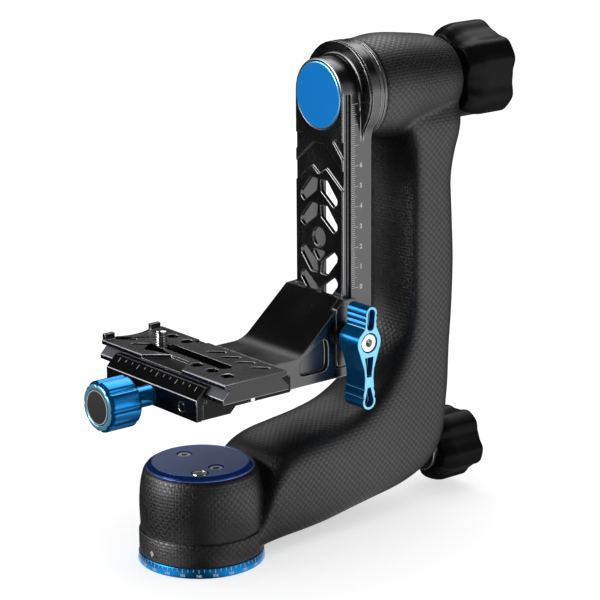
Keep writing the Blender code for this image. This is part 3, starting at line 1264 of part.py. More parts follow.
def lever_pockets():
    """The sunk shapes in the lever's face: a slot above the screw, a wedge and a drop below it."""
    top = LEVER_TOP - LEVER_TOP_TIP
    bottom = LEVER_BOTTOM - LEVER_BOTTOM_TIP
    slot = LEVER_TOP_TIP - LEVER_WALL
    low = LEVER_SCREW_RADIUS + LEVER_WALL + slot
    upper = arc((LEVER_LEAN, top), slot, 0, 180, 6)
    upper += arc((LEVER_LEAN * low / top, low), slot, 180, 360, 6)
    wedge = LEVER_NECK - LEVER_WALL
    high = -LEVER_SCREW_RADIUS - 2 * LEVER_WALL
    end = -LEVER_WEDGE_SHARE * bottom
    middle = [(-2 * wedge, high), (-wedge, end), (wedge, end), (2 * wedge, high)]
    drop = LEVER_BOTTOM_TIP - LEVER_WALL
    peak = -LEVER_DROP_SHARE * bottom
    lower = arc((0.0, -bottom), drop, 170, 370, 7) + [(drop / 3, peak), (-drop / 3, peak)]
    return [upper, middle, lower]


def build_lever():
    back = LEVER_OUT - LEVER_THICK
    lever = flat("bracket_lever", [lever_outline()], back, LEVER_OUT)
    at = (0.0, LEVER_DEPTH, LEVER_HEIGHT)
    finish(lever, BLUE, LEVER_BODY, at, ALONG_X)
    hole = [(0.0, LEVER_OUT + OVERRUN), (LEVER_SCREW_RADIUS + GAP, LEVER_OUT + OVERRUN)]
    hole += [(LEVER_SCREW_RADIUS + GAP, LEVER_OUT - LEVER_SCREW_SINK - GAP)]
    hole += [(LEVER_STUD_RADIUS + GAP, LEVER_OUT - LEVER_SCREW_SINK - GAP)]
    hole += [(LEVER_STUD_RADIUS + GAP, back - OVERRUN), (0.0, back - OVERRUN)]
    cut(lever, turned("lever_hole", hole, 24), LEVER_BODY, at, TURNED_X)
    pockets = flat("lever_pockets", lever_pockets(), LEVER_OUT - LEVER_POCKET_DEPTH, LEVER_OUT + OVERRUN)
    cut(lever, pockets, LEVER_BODY, at, ALONG_X)

    end = LEVER_OUT - GAP
    neck = end - LEVER_SCREW_SINK + GAP
    profile = [(0.0, end), (LEVER_SCREW_RADIUS - GAP, end), (LEVER_SCREW_RADIUS, end - GAP)]
    profile += [(LEVER_SCREW_RADIUS, neck), (LEVER_STUD_RADIUS, neck), (LEVER_STUD_RADIUS, LEVER_STUD_END)]
    profile += [(0.0, LEVER_STUD_END)]
    screw = turned("lever_screw", profile, SMALL_STEPS)
    cut(screw, hex_key("lever_screw_key", HEX_KEY_DEPTH, end), LEVER_BODY, at, TURNED_X)
    finish(screw, STEEL, LEVER_BODY, at, TURNED_X)
    collar = tube(
        "lever_collar",
        LEVER_STUD_RADIUS + GAP,
        LEVER_COLLAR_RADIUS,
        BRACKET_HALF_WIDTH + GAP,
        back - GAP,
        MEDIUM_STEPS,
    )
    finish(collar, BLACK, CHEEK_BODY, at, TURNED_X)


def dovetail_side():
    """The lens plate seen from its end, in Y and Z, with the dovetail at its bottom."""
    top = PLATE_TOP
    low = top - PLATE_THICK
    rim = top - PLATE_RIM_THICK
    flange = low + PLATE_FLANGE_THICK
    slope = flange + (PLATE_FLANGE - PLATE_NECK)
    half = [
        (PLATE_FLANGE, low),
        (PLATE_FLANGE, flange),
        (PLATE_NECK, slope),
        (PLATE_NECK, max(rim, slope + GAP)),
        (PLATE_HALF_WIDTH, max(rim, slope + GAP) + GAP),
        (PLATE_HALF_WIDTH, top - GAP),
        (PLATE_HALF_WIDTH - GAP, top),
    ]
    right = [(PLATE_CENTRE + y, z) for y, z in half]
    left = [(PLATE_CENTRE - y, z) for y, z in reversed(half)]
    return right + left


def build_lens_plate():
    length = PLATE_HALF_LENGTH
    plate = flat("lens_plate", [dovetail_side()], -length, length)
    finish(plate, BLACK, PLATE_BODY, turn=ALONG_X)
    high = PLATE_TOP + OVERRUN
    low = PLATE_TOP - PLATE_THICK - OVERRUN
    front = PLATE_CENTRE - PLATE_HALF_WIDTH + GAP
    rear = PLATE_CENTRE + PLATE_HALF_WIDTH - PLATE_LIP_INSET - PLATE_LIP_LENGTH
    for k, start in enumerate((front, rear)):
        lip = box(
            f"plate_lip_{k + 1}",
            (-length + GAP, start, PLATE_TOP - PLATE_EDGE),
            (-length + PLATE_LIP_THICK, start + PLATE_LIP_LENGTH, PLATE_TOP + PLATE_LIP_HEIGHT),
        )
        join(plate, lip, PLATE_BODY)
    reach = PLATE_HALF_WIDTH - PLATE_LIP_INSET - PLATE_LIP_LENGTH
    scoop = [(-length - OVERRUN, PLATE_CENTRE - reach)]
    scoop += [(-length, PLATE_CENTRE - reach)]
    for k in range(1, 8):
        share = k / 8
        bow = PLATE_SCOOP_DEPTH * math.sin(math.pi * share)
        scoop.append((-length + bow, PLATE_CENTRE - reach + 2 * reach * share))
    scoop += [(-length, PLATE_CENTRE + reach), (-length - OVERRUN, PLATE_CENTRE + reach)]
    loops = [scoop]
    middle = (0.0, PLATE_CENTRE)
    loops.append(slot_outline(2 * PLATE_SLOT_HALF_LENGTH, 2 * PLATE_SLOT_HALF_WIDTH, middle, 0.0))
    for row, slants, hexes in ((FRONT_ROW, FRONT_SLANTS, FRONT_HEXES), (REAR_ROW, REAR_SLANTS, REAR_HEXES)):
        start, count = slants
        for k in range(count):
            centre = (start + SLANT_PITCH * k, row)
            loops.append(slot_outline(SLANT_LENGTH, SLANT_WIDTH, centre, SLANT_ANGLE, 2))
        start, count = hexes
        for k in range(count):
            loops.append(circle(HEX_RADIUS, 6, (start + HEX_PITCH * k, row)))
    cut(plate, flat("plate_cutouts", loops, low, high), PLATE_BODY)
    for side, (mouth, root, length) in ((-1, FRONT_NOTCH), (1, REAR_NOTCH)):
        edge = PLATE_CENTRE + side * (PLATE_HALF_WIDTH + OVERRUN)
        inner = PLATE_CENTRE + side * (PLATE_HALF_WIDTH - length)
        corners = [(mouth[0], edge), (mouth[1], edge), (root[1], inner), (root[0], inner)]
        notch = flat(f"plate_notch_{side + 2}", [corners], PLATE_TOP - NOTCH_DEPTH, high)
        cut(plate, notch, PLATE_BODY)
    relief_top = PLATE_TOP - PLATE_THICK + PLATE_RELIEF_DEPTH
    slot = 2 * (PLATE_SLOT_HALF_LENGTH + PLATE_RELIEF_HALF_WIDTH - PLATE_SLOT_HALF_WIDTH)
    relief = flat(
        "plate_relief",
        [slot_outline(slot, 2 * PLATE_RELIEF_HALF_WIDTH, middle, 0.0)],
        low,
        relief_top,
    )
    cut(plate, relief, PLATE_BODY)

    bottom = PLATE_TOP - PLATE_THICK
    for k, side in enumerate((-1, 1)):
        at = (side * STOP_PLACE, PLATE_CENTRE, bottom)
        profile = [(0.0, STOP_DEPTH), (STOP_RADIUS / 2, STOP_DEPTH), (STOP_RADIUS / 2, -GAP)]
        profile += [(STOP_RADIUS, -GAP), (STOP_RADIUS, -STOP_DROP), (0.0, -STOP_DROP)]
        finish(turned(f"plate_stop_{k + 1}", profile, SMALL_STEPS), STEEL, PLATE_BODY, at)
        name = f"plate_stop_hole_{k + 1}"
        hole = rod(name, STOP_RADIUS / 2 + GAP, -OVERRUN, STOP_DEPTH + GAP, SMALL_STEPS)
        cut(plate, hole, PLATE_BODY, at)


def build_camera_screw():
    at = (SCREW_PLACE, PLATE_CENTRE, 0.0)
    relief_top = PLATE_TOP - PLATE_THICK + PLATE_RELIEF_DEPTH
    retainer_top = relief_top - GAP
    retainer_low = retainer_top - RETAINER_THICK
    bore = SCREW_RADIUS + GAP
    retainer = tube("screw_retainer", bore, RETAINER_RADIUS, retainer_low, retainer_top, MEDIUM_STEPS)
    finish(retainer, STEEL, RETAINER_BODY, at)
    head_top = retainer_low - GAP
    head_low = head_top - SCREW_HEAD_THICK + RETAINER_THICK
    top = PLATE_TOP + SCREW_RISE
    profile = [(0.0, top), (SCREW_RADIUS - PLATE_EDGE, top), (SCREW_RADIUS, top - PLATE_EDGE)]
    profile += [(SCREW_RADIUS, head_top), (SCREW_HEAD_RADIUS, head_top)]
    profile += [(SCREW_HEAD_RADIUS, head_low), (0.0, head_low)]
    screw = turned("camera_screw", profile, MEDIUM_STEPS)
    finish(screw, STEEL, SCREW_BODY, at)


def clamp_side():
    """The fixed half of the clamp seen from its end, in Y and Z."""
    bottom = PLATE_TOP - PLATE_THICK
    floor = bottom - GAP
    flange = bottom + PLATE_FLANGE_THICK
    rear_flange = PLATE_CENTRE + PLATE_FLANGE + GAP
    lip_drop = PLATE_FLANGE - PLATE_NECK
    rear_low = BRACKET_BOTTOM + BRACKET_FOOT_THICK + GAP
    hook = min(lip_drop - PLATE_EDGE, CLAMP_REAR_TOP - flange)
    return [
        (CLAMP_FRONT, CLAMP_BOTTOM),
        (CLAMP_STEP_FRONT, CLAMP_BOTTOM),
        (CLAMP_STEP_BACK, rear_low),
        (CLAMP_REAR - PLATE_EDGE, rear_low),
        (CLAMP_REAR, rear_low + PLATE_EDGE),
        (CLAMP_REAR, CLAMP_REAR_SHOULDER),
        (CLAMP_REAR_CREST, CLAMP_REAR_TOP),
        (rear_flange - hook, CLAMP_REAR_TOP),
        (rear_flange - hook, flange + hook),
        (rear_flange, flange),
        (rear_flange, floor),
        (CLAMP_SHELF, floor),
        (CLAMP_SHELF, floor - CLAMP_SHELF_DROP),
        (CLAMP_FRONT, floor - CLAMP_SHELF_DROP),
    ]


def jaw_side():
    """The sliding half of the clamp seen from its end, in Y and Z."""
    bottom = PLATE_TOP - PLATE_THICK
    flange = bottom + PLATE_FLANGE_THICK
    front_flange = PLATE_CENTRE - PLATE_FLANGE - GAP
    hook = min(PLATE_FLANGE - PLATE_NECK - PLATE_EDGE, CLAMP_REAR_TOP - flange)
    shelf = bottom - CLAMP_SHELF_DROP
    return [
        (JAW_OUTER, JAW_BOTTOM),
        (CLAMP_FRONT - GAP, JAW_BOTTOM),
        (CLAMP_FRONT - GAP, shelf),
        (front_flange, shelf),
        (front_flange, flange),
        (front_flange + hook, flange + hook),
        (front_flange + hook, CLAMP_REAR_TOP),
        (JAW_CREST, CLAMP_REAR_TOP),
        (JAW_OUTER, JAW_SHOULDER),
    ]


def build_clamp():
    half = CLAMP_HALF_LENGTH
    base = flat("clamp_base", [clamp_side()], -half, half)
    finish(base, BLACK, BRACKET_BODY, turn=ALONG_X)
    jaw = flat("front_jaw", [jaw_side()], -half, half)
    finish(jaw, BLACK, JAW_BODY, turn=ALONG_X)
    for k, side in enumerate((-1, 1)):
        at = (side * GUIDE_PIN_PLACE, 0.0, CLAMP_AXIS_HEIGHT)
        bore = GUIDE_PIN_RADIUS + GAP
        hole = rod(f"base_pin_hole_{k + 1}", bore, CLAMP_FRONT - OVERRUN, GUIDE_PIN_BACK + GAP, SMALL_STEPS)
        cut(base, hole, BRACKET_BODY, at, TURNED_Y)
        hole = rod(f"jaw_pin_hole_{k + 1}", bore, JAW_OUTER - OVERRUN, CLAMP_FRONT + OVERRUN, SMALL_STEPS)
        cut(jaw, hole, JAW_BODY, at, TURNED_Y)
        pin = rod(f"guide_pin_{k + 1}", GUIDE_PIN_RADIUS, JAW_OUTER + GAP, GUIDE_PIN_BACK, SMALL_STEPS)
        finish(pin, STEEL, JAW_BODY, at, TURNED_Y)
        screw_at = (side * CLAMP_SCREW_SPACING / 2, CLAMP_SCREW_PLACE, BRACKET_BOTTOM)
        bore = CLAMP_SCREW_RADIUS + GAP
        hole = rod(f"base_clamp_screw_hole_{k + 1}", bore, 0.0, CLAMP_SCREW_LENGTH + GAP, SMALL_STEPS)
        cut(base, hole, BRACKET_BODY, screw_at)
    at = (0.0, 0.0, CLAMP_AXIS_HEIGHT)
    bore = DRAW_SCREW_RADIUS + GAP
    hole = rod("base_draw_hole", bore, CLAMP_FRONT - OVERRUN, DRAW_SCREW_BACK + GAP, SMALL_STEPS)
    cut(base, hole, BRACKET_BODY, at, TURNED_Y)
    hole = rod("jaw_draw_hole", bore, JAW_OUTER - OVERRUN, CLAMP_FRONT + OVERRUN, SMALL_STEPS)
    cut(jaw, hole, JAW_BODY, at, TURNED_Y)


def build_clamp_knob():
    length = CLAMP_KNOB_BACK - CLAMP_KNOB_FRONT
    radius = CLAMP_KNOB_RADIUS
    rings = []
    edge = CLAMP_KNOB_EDGE
    stations = [
        (2 * edge, 0.0),
        (edge, PLATE_EDGE),
        (0.0, edge),
        (0.0, length - edge),
        (edge, length),
    ]
    for offset, height in stations:
        rings.append(
            knob_ring(radius, offset, CLAMP_KNOB_FLUTES, CLAMP_KNOB_POINTS, CLAMP_KNOB_FLUTE_SHARE, height)
        )
    knob = loft("clamp_knob", rings)
    at = (0.0, CLAMP_KNOB_FRONT, CLAMP_AXIS_HEIGHT)
    finish(knob, BLUE, CLAMP_KNOB_BODY, at, TURNED_Y)
    pocket_end = CLAMP_KNOB_CAP_DEPTH + GAP
    pocket = rod("knob_cap_pocket", CLAMP_KNOB_CAP_RADIUS + GAP, -OVERRUN, pocket_end, MEDIUM_STEPS)
    cut(knob, pocket, CLAMP_KNOB_BODY, at, TURNED_Y)
    cap = rod("clamp_knob_cap", CLAMP_KNOB_CAP_RADIUS, 0.0, CLAMP_KNOB_CAP_DEPTH, MEDIUM_STEPS, GAP)
    finish(cap, BLACK, CLAMP_KNOB_BODY, at, TURNED_Y)
    hole = rod("knob_screw_hole", DRAW_SCREW_RADIUS + GAP, length / 2, length + OVERRUN, SMALL_STEPS)
    cut(knob, hole, CLAMP_KNOB_BODY, at, TURNED_Y)

    at = (0.0, 0.0, CLAMP_AXIS_HEIGHT)
    collar = tube(
        "clamp_knob_collar",
        DRAW_SCREW_RADIUS + GAP,
        CLAMP_SHAFT_RADIUS,
        CLAMP_KNOB_BACK + GAP,
        JAW_OUTER - GAP,
        MEDIUM_STEPS,
    )
    finish(collar, BLUE, CLAMP_KNOB_BODY, at, TURNED_Y)
    start = CLAMP_KNOB_FRONT + length / 2 + GAP
    draw = rod("clamp_draw_screw", DRAW_SCREW_RADIUS, start, DRAW_SCREW_BACK, SMALL_STEPS)
    finish(draw, STEEL, CLAMP_KNOB_BODY, at, TURNED_Y)


def build():
    build_base()
    build_pan_bearings()
    build_arm_shell()
    build_cap()
    build_pan_lock()
    build_tilt_axis()
    build_swing_plate()
    build_bracket()
    build_cheek()
    build_lever()
    build_clamp()
    build_clamp_knob()
    build_lens_plate()
    build_camera_screw()


build()
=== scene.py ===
"""Looks of the gimbal tripod head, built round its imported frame."""
import json
import math

import bmesh
import bpy
import numpy as np
from mathutils import Matrix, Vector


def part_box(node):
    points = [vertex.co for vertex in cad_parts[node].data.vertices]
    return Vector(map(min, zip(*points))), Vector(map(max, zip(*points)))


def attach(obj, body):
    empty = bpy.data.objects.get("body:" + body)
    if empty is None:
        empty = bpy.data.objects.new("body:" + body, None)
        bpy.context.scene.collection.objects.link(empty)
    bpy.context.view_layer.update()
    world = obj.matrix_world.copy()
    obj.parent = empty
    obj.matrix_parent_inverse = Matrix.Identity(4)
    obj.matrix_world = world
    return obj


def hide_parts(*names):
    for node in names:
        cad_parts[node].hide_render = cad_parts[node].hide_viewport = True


MM = 0.001
TAU = 2 * math.pi
# How far printed marks stand off, the weave's repeat, and points this near are one
PROUD = 0.03 * MM
WEAVE_REPEAT = 3.4 * MM
MERGE = 0.001 * MM
# A face looks along an axis when its normal has at least this share of it
FACING = 0.9
NEAR = 0.1 * MM
FLAT_ANGLE = math.radians(0.5)
BEVEL_ANGLE = math.radians(38.0)

# Camera
CAMERA_TURN = math.radians(50.906)
CAMERA_RISE = math.radians(15.664)
CAMERA_ROLL = math.radians(-0.378)
CAMERA_DISTANCE = 1231.94 * MM
CAMERA_RIGHT = 47.169 * MM
CAMERA_UP = 122.774 * MM
CAMERA_LENS = 153.88
SENSOR = 36.0

# Sizes that the pieces share with the frame
BAND_RADIUS = 29.8 * MM
BAND_TOP = 16.0 * MM
DRUM_BOTTOM = 5.3 * MM
DRUM_TOP = 46.2 * MM
NECK_RADIUS = 26.0 * MM
BELLY_RADIUS = 29.4 * MM
WAIST_RADIUS = 29.0 * MM
GROOVE_RADIUS = 28.5 * MM
GROOVE_HEIGHT = 0.8 * MM
DRUM_SHARES = ((0.0, 0.0), (0.3, 0.04), (0.5, 0.11), (0.82, 0.29), (1.0, 0.6))
ROOT_HALF_WIDTH = 26.5 * MM
ARM_HALF_WIDTH = 19.6 * MM
ARM_FRONT = 120.3 * MM
ARM_BACK = 148.2 * MM
ARM_TOP = 212.0 * MM
ELBOW_HEIGHT = 60.0 * MM
SECTION_POWER = 4.6
TILT_HEIGHT = 215.3 * MM
BARREL_FRONT = 96.9 * MM
BARREL_BACK = 151.5 * MM
BARREL_RADIUS = 25.5 * MM
TAIL_RADIUS = 18.3 * MM
PAN_LOCK_HEIGHT = 22.9 * MM
CLAMP_KNOB_HEIGHT = 87.0 * MM
RAIL_SIDE = 17.7 * MM

# Sections of the arm: inner and outer place and half width, each as a share, as arm_rows reads them
ROOT_SHARES = (
    (0.10, 0.33, 0.10, 0.0, 1.0),
    (0.46, 0.35, 0.50, 0.0, 0.97),
    (0.65, 0.52, 0.80, 0.0, 0.94),
    (0.84, 0.80, 1.07, 0.0, 0.95),
    (1.06, 1.01, 1.34, 0.0, 0.95),
)
REACH_SHARES = (
    (0.135, 0.86, 0.22, 0.005, 1.28),
    (0.29, 0.90, 0.36, 0.02, 1.25),
    (0.45, 0.935, 0.51, 0.05, 1.21),
    (0.60, 0.99, 0.685, 0.085, 1.17),
    (0.71, 1.075, 0.855, 0.115, 1.13),
    (0.79, 1.17, 0.985, 0.155, 1.09),
    (0.845, 1.26, 1.105, 0.225, 1.06),
    (0.89, 1.35, 1.20, 0.34, 1.03),
    (0.925, 1.44, 1.25, 0.51, 1.01),
    (0.955, 1.52, 1.264, 0.72, 1.0),
    (0.978, 1.64, 1.275, 0.91, 1.0),
)
UPRIGHT_SHARES = (
    (0.03, 0.31, -0.085, 0.13, 1.0),
    (0.03, 0.39, -0.03, 0.26, 1.0),
    (0.035, 0.50, 0.0, 0.43, 1.0),
    (0.035, 0.61, -0.045, 0.60, 1.0),
    (0.03, 0.70, -0.08, 0.71, 1.01),
    (0.06, 0.775, -0.02, 0.795, 1.06),
    (0.13, 0.845, 0.07, 0.86, 1.12),
    (0.26, 0.91, 0.12, 0.91, 1.10),
    (0.36, 1.0, 0.11, 1.0, 0.88),
)
# Points of the barrel's profile: share of its swell, and of its length from the tail
BARREL_SHARES = (
    (-0.05, 0.0),
    (0.18, 0.05),
    (0.46, 0.176),
    (0.69, 0.36),
    (0.93, 0.6),
    (1.0, 0.77),
    (0.89, 0.91),
    (0.83, 1.0),
)

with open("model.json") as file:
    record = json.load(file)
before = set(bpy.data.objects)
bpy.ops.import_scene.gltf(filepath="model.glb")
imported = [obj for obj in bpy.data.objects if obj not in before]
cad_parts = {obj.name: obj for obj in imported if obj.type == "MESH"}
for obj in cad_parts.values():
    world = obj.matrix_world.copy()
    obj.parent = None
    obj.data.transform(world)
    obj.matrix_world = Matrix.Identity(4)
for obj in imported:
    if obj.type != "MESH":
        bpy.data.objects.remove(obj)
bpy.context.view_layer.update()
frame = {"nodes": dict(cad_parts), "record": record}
nodes = frame["nodes"]
body_of = {node: body for body, names in frame["record"]["behaviour"]["bodies"].items() for node in names}
slot_of = {entry["node"]: entry["material_slot"] for entry in frame["record"]["subparts"]}


# Meshes

def link(obj):
    bpy.context.scene.collection.objects.link(obj)
    return obj


def tidy(mesh, sharp, flatten=False):
    """Merges doubles, turns the faces outwards or joins the flat ones, and marks the sharp edges."""
    solid = bmesh.new()
    solid.from_mesh(mesh)
    bmesh.ops.remove_doubles(solid, verts=solid.verts, dist=MERGE)
    if flatten:
        bmesh.ops.dissolve_limit(solid, angle_limit=FLAT_ANGLE, verts=solid.verts, edges=solid.edges)
    else:
        bmesh.ops.recalc_face_normals(solid, faces=solid.faces)
    solid.to_mesh(mesh)
    solid.free()
    mesh.shade_smooth()
    mesh.set_sharp_from_angle(angle=math.radians(sharp))


def mesh_piece(name, points, faces, sharp=30.0):
    """A tidied piece of points and faces."""
    mesh = bpy.data.meshes.new(name)
    mesh.from_pydata(points.tolist(), [], faces)
    tidy(mesh, sharp)
    return link(bpy.data.objects.new(name, mesh))


def surface(name, points, sharp=35.0, ring=False):
    """A closed skin through a grid of points: rows along it, columns round it.

    A ring joins its last row to its first; any other skin gets a cap at each end.
    """
    rows, columns = points.shape[:2]
    row = np.arange(rows if ring else rows - 1)[:, None] * columns
    onward = (row + columns) % (rows * columns)
    column = np.arange(columns)[None, :]
    after = (column + 1) % columns
    quads = np.stack([row + column, row + after, onward + after, onward + column], -1)
    faces = quads.reshape(-1, 4).tolist()
    if not ring:
        faces.append(np.arange(columns)[::-1].tolist())
        faces.append((np.arange(columns) + (rows - 1) * columns).tolist())
    return mesh_piece(name, points.reshape(-1, 3), faces, sharp)


def rounded(outline, radius, steps=4, ring=False):
    """An outline whose corners are curves that leave their sides a radius from the corner.

    An open outline keeps its two ends; a ring is rounded all the way round.
    """
    corner = np.asarray(outline, float)
    back = np.roll(corner, 1, axis=0) - corner
    onward = np.roll(corner, -1, axis=0) - corner
    back_length = np.linalg.norm(back, axis=1, keepdims=True)
    onward_length = np.linalg.norm(onward, axis=1, keepdims=True)
    side_share = 0.45
    reach = np.minimum(radius, side_share * np.minimum(back_length, onward_length))
    if not ring:
        reach[[0, -1]] = 0.0
    start = (corner + back / np.maximum(back_length, MERGE) * reach)[:, None]
    end = (corner + onward / np.maximum(onward_length, MERGE) * reach)[:, None]
    along = np.linspace(0.0, 1.0, steps + 1)[None, :, None]
    curve = (1 - along) ** 2 * start + 2 * along * (1 - along) * corner[:, None] + along**2 * end
    return curve.reshape(-1, 2)


def laid(points, axis, at):
    """Turns points drawn along local Z so that they run along the axis, and moves them to their place."""
    if axis == "y":
        points = points[..., [0, 2, 1]] * (1.0, 1.0, -1.0)
    return points + np.asarray(at)


def turned(name, profile, axis="z", at=(0.0, 0.0, 0.0), steps=120, sharp=35.0, ring=False):
    """A surface of revolution: each point of the profile, radius and height, is carried round the axis."""
    radius, height = np.asarray(profile, float).T
    angle = np.arange(steps) * TAU / steps
    grid = np.stack(
        [
            radius[:, None] * np.cos(angle),
            radius[:, None] * np.sin(angle),
            np.repeat(height[:, None], steps, 1),
        ],
        -1,
    )
    return surface(name, laid(grid, axis, at), sharp, ring)


def smooth_rows(rows, count):
    """A Catmull-Rom curve through the rows, with a count of steps between each two."""
    rows = np.asarray(rows, float)
    padded = np.concatenate([[2 * rows[0] - rows[1]], rows, [2 * rows[-1] - rows[-2]]])
    p0, p1, p2, p3 = (padded[k : len(padded) - 3 + k][:, None] for k in range(4))
    t = (np.arange(count) / count)[None, :, None]
    curve = 0.5 * (2 * p1 + (p2 - p0) * t + (2 * p0 - 5 * p1 + 4 * p2 - p3) * t**2)
    curve += 0.5 * (3 * p1 - p0 - 3 * p2 + p3) * t**3
    return np.concatenate([curve.reshape(-1, rows.shape[1]), rows[-1:]])


def marks(name, boxes, place):
    """Thin raised marks: each box spans two corners, across, up and out, which place puts in the frame."""
    boxes = np.asarray(boxes, float)
    pick = np.array([[0, 0, 0], [1, 0, 0], [1, 1, 0], [0, 1, 0], [0, 0, 1], [1, 0, 1], [1, 1, 1], [0, 1, 1]])
    corners = np.take_along_axis(boxes, pick[None].repeat(len(boxes), 0), axis=1)
    side = np.array([[0, 3, 2, 1], [4, 5, 6, 7], [0, 1, 5, 4], [1, 2, 6, 5], [2, 3, 7, 6], [3, 0, 4, 7]])
    faces = side[None] + 8 * np.arange(len(boxes))[:, None, None]
    return mesh_piece(name, place(corners.reshape(-1, 3)), faces.reshape(-1, 4).tolist())


def numbers(name, labels, size, place):
    """Raised numbers: each label is set about its place (across, up), and place turns it into the frame."""
    stroke_share = 0.03
    points, faces, start = [], [], 0
    for text, across, up in labels:
        curve = bpy.data.curves.new(name, "FONT")
        curve.body = text
        curve.size = size
        curve.extrude = PROUD
        curve.offset = stroke_share * size
        curve.resolution_u = 3
        curve.align_x = "CENTER"
        curve.align_y = "CENTER"
        letters = link(bpy.data.objects.new(name, curve))
        mesh = evaluated_mesh(letters)
        points.append(read_points(mesh) + (across, up, 0.0))
        faces += [[start + v for v in face.vertices] for face in mesh.polygons]
        start += len(mesh.vertices)
        bpy.data.objects.remove(letters)
        bpy.data.meshes.remove(mesh)
        bpy.data.curves.remove(curve)
    return mesh_piece(name, place(np.concatenate(points)), faces)


# Materials

class Graph:
    """A node tree with short ways to add and join nodes."""

    def __init__(self, tree):
        self.tree = tree

    def add(self, kind, **settings):
        node = self.tree.nodes.new(kind)
        for key, value in settings.items():
            setattr(node, key, value)
        return node

    def feed(self, socket, value):
        if isinstance(value, bpy.types.NodeSocket):
            self.tree.links.new(value, socket)
        else:
            socket.default_value = value

    def math(self, operation, *values):
        node = self.add("ShaderNodeMath", operation=operation)
        for socket, value in zip(node.inputs, values):
            self.feed(socket, value)
        return node.outputs[0]

    def vector(self, operation, *values):
        node = self.add("ShaderNodeVectorMath", operation=operation)
        for socket, value in zip(node.inputs, values):
            self.feed(socket, value)
        return node.outputs["Value" if operation in ("DOT_PRODUCT", "LENGTH") else "Vector"]

    def ramp(self, value, start, end, low, high):
        """A smooth step of the value: low up to start, high from end on."""
        node = self.add("ShaderNodeMapRange", interpolation_type="SMOOTHSTEP")
        names = ("Value", "From Min", "From Max", "To Min", "To Max")
        for name, given in zip(names, (value, start, end, low, high)):
            self.feed(node.inputs[name], given)
        return node.outputs["Result"]

    def blend(self, factor, low, high):
        node = self.add("ShaderNodeMix", data_type="FLOAT")
        for socket, value in zip(node.inputs[:1] + node.inputs[2:4], (factor, low, high)):
            self.feed(socket, value)
        return node.outputs[0]

    def colour(self, factor, low, high):
        node = self.add("ShaderNodeMix", data_type="RGBA")
        for name, value in (("Factor", factor), ("A", low), ("B", high)):
            sockets = [s for s in node.inputs if s.name == name and s.enabled]
            self.feed(sockets[0], value)
        return next(s for s in node.outputs if s.enabled)

    def group(self, tree, **values):
        node = self.add("ShaderNodeGroup", node_tree=tree)
        for name, value in values.items():
            self.feed(node.inputs[name], value)
        return node


def new_group(name, inputs, outputs):
    tree = bpy.data.node_groups.new(name, "ShaderNodeTree")
    for label, kind in inputs:
        tree.interface.new_socket(label, in_out="INPUT", socket_type=kind)
    for label, kind in outputs:
        tree.interface.new_socket(label, in_out="OUTPUT", socket_type=kind)
    graph = Graph(tree)
    return graph, graph.add("NodeGroupInput").outputs, graph.add("NodeGroupOutput").inputs


def grain_group():
    """Fine blasted grain and broad wear: two noises of the place, as a mask and a height."""
    graph, given, made = new_group(
        "blasted_grain",
        (("Place", "NodeSocketVector"), ("Fineness", "NodeSocketFloat"), ("Breadth", "NodeSocketFloat")),
        (("Wear", "NodeSocketFloat"), ("Height", "NodeSocketFloat")),
    )
    for scale, detail, output in (("Fineness", 3.0, "Height"), ("Breadth", 5.0, "Wear")):
        noise = graph.add("ShaderNodeTexNoise")
        noise.inputs["Detail"].default_value = detail
        graph.feed(noise.inputs["Vector"], given["Place"])
        graph.feed(noise.inputs["Scale"], given[scale])
        graph.feed(made[output], noise.outputs["Fac"])
    return graph.tree


def weave_group():
    """Plain weave: on each face the product of two cosines of the place, positive where a tow is on top."""
    graph, given, made = new_group(
        "woven_tows",
        (("Place", "NodeSocketVector"), ("Face", "NodeSocketVector"), ("Repeat", "NodeSocketFloat")),
        (("Tow", "NodeSocketFloat"), ("Height", "NodeSocketFloat")),
    )
    place = graph.add("ShaderNodeSeparateXYZ")
    face = graph.add("ShaderNodeSeparateXYZ")
    graph.feed(place.inputs[0], given["Place"])
    graph.feed(face.inputs[0], given["Face"])
    turns = graph.math("DIVIDE", TAU, given["Repeat"])
    wave = [graph.math("COSINE", graph.math("MULTIPLY", output, turns)) for output in place.outputs]
    weight = [graph.math("POWER", graph.math("ABSOLUTE", output), 4.0) for output in face.outputs]
    total = graph.math("ADD", graph.math("ADD", weight[0], weight[1]), weight[2])
    pairs = ((2, 1), (2, 0), (1, 0))
    parts = [
        graph.math("MULTIPLY", weight[k], graph.math("MULTIPLY", wave[a], wave[b]))
        for k, (a, b) in enumerate(pairs)
    ]
    check = graph.math("DIVIDE", graph.math("ADD", graph.math("ADD", parts[0], parts[1]), parts[2]), total)
    tow = graph.math("ADD", graph.math("MULTIPLY", check, 0.9), 0.5)
    graph.feed(made["Tow"], graph.math("MINIMUM", graph.math("MAXIMUM", tow, 0.0), 1.0))
    graph.feed(made["Height"], graph.math("POWER", graph.math("ABSOLUTE", check), 0.5))
    return graph.tree


GRAIN = grain_group()
WEAVE = weave_group()


def new_material(name, colour, roughness, metallic=0.0, specular=0.5):
    material = bpy.data.materials.new(name)
    material.use_nodes = True
    graph = Graph(material.node_tree)
    shader = material.node_tree.nodes["Principled BSDF"]
    shader.inputs["Base Color"].default_value = (*colour, 1.0)
    shader.inputs["Roughness"].default_value = roughness
    shader.inputs["Metallic"].default_value = metallic
    shader.inputs["Specular IOR Level"].default_value = specular
    return material, graph, shader


def bump(graph, shader, height, strength, distance):
    node = graph.add("ShaderNodeBump")
    node.inputs["Strength"].default_value = strength
    node.inputs["Distance"].default_value = distance
    graph.feed(node.inputs["Height"], height)
    graph.feed(shader.inputs["Normal"], node.outputs["Normal"])


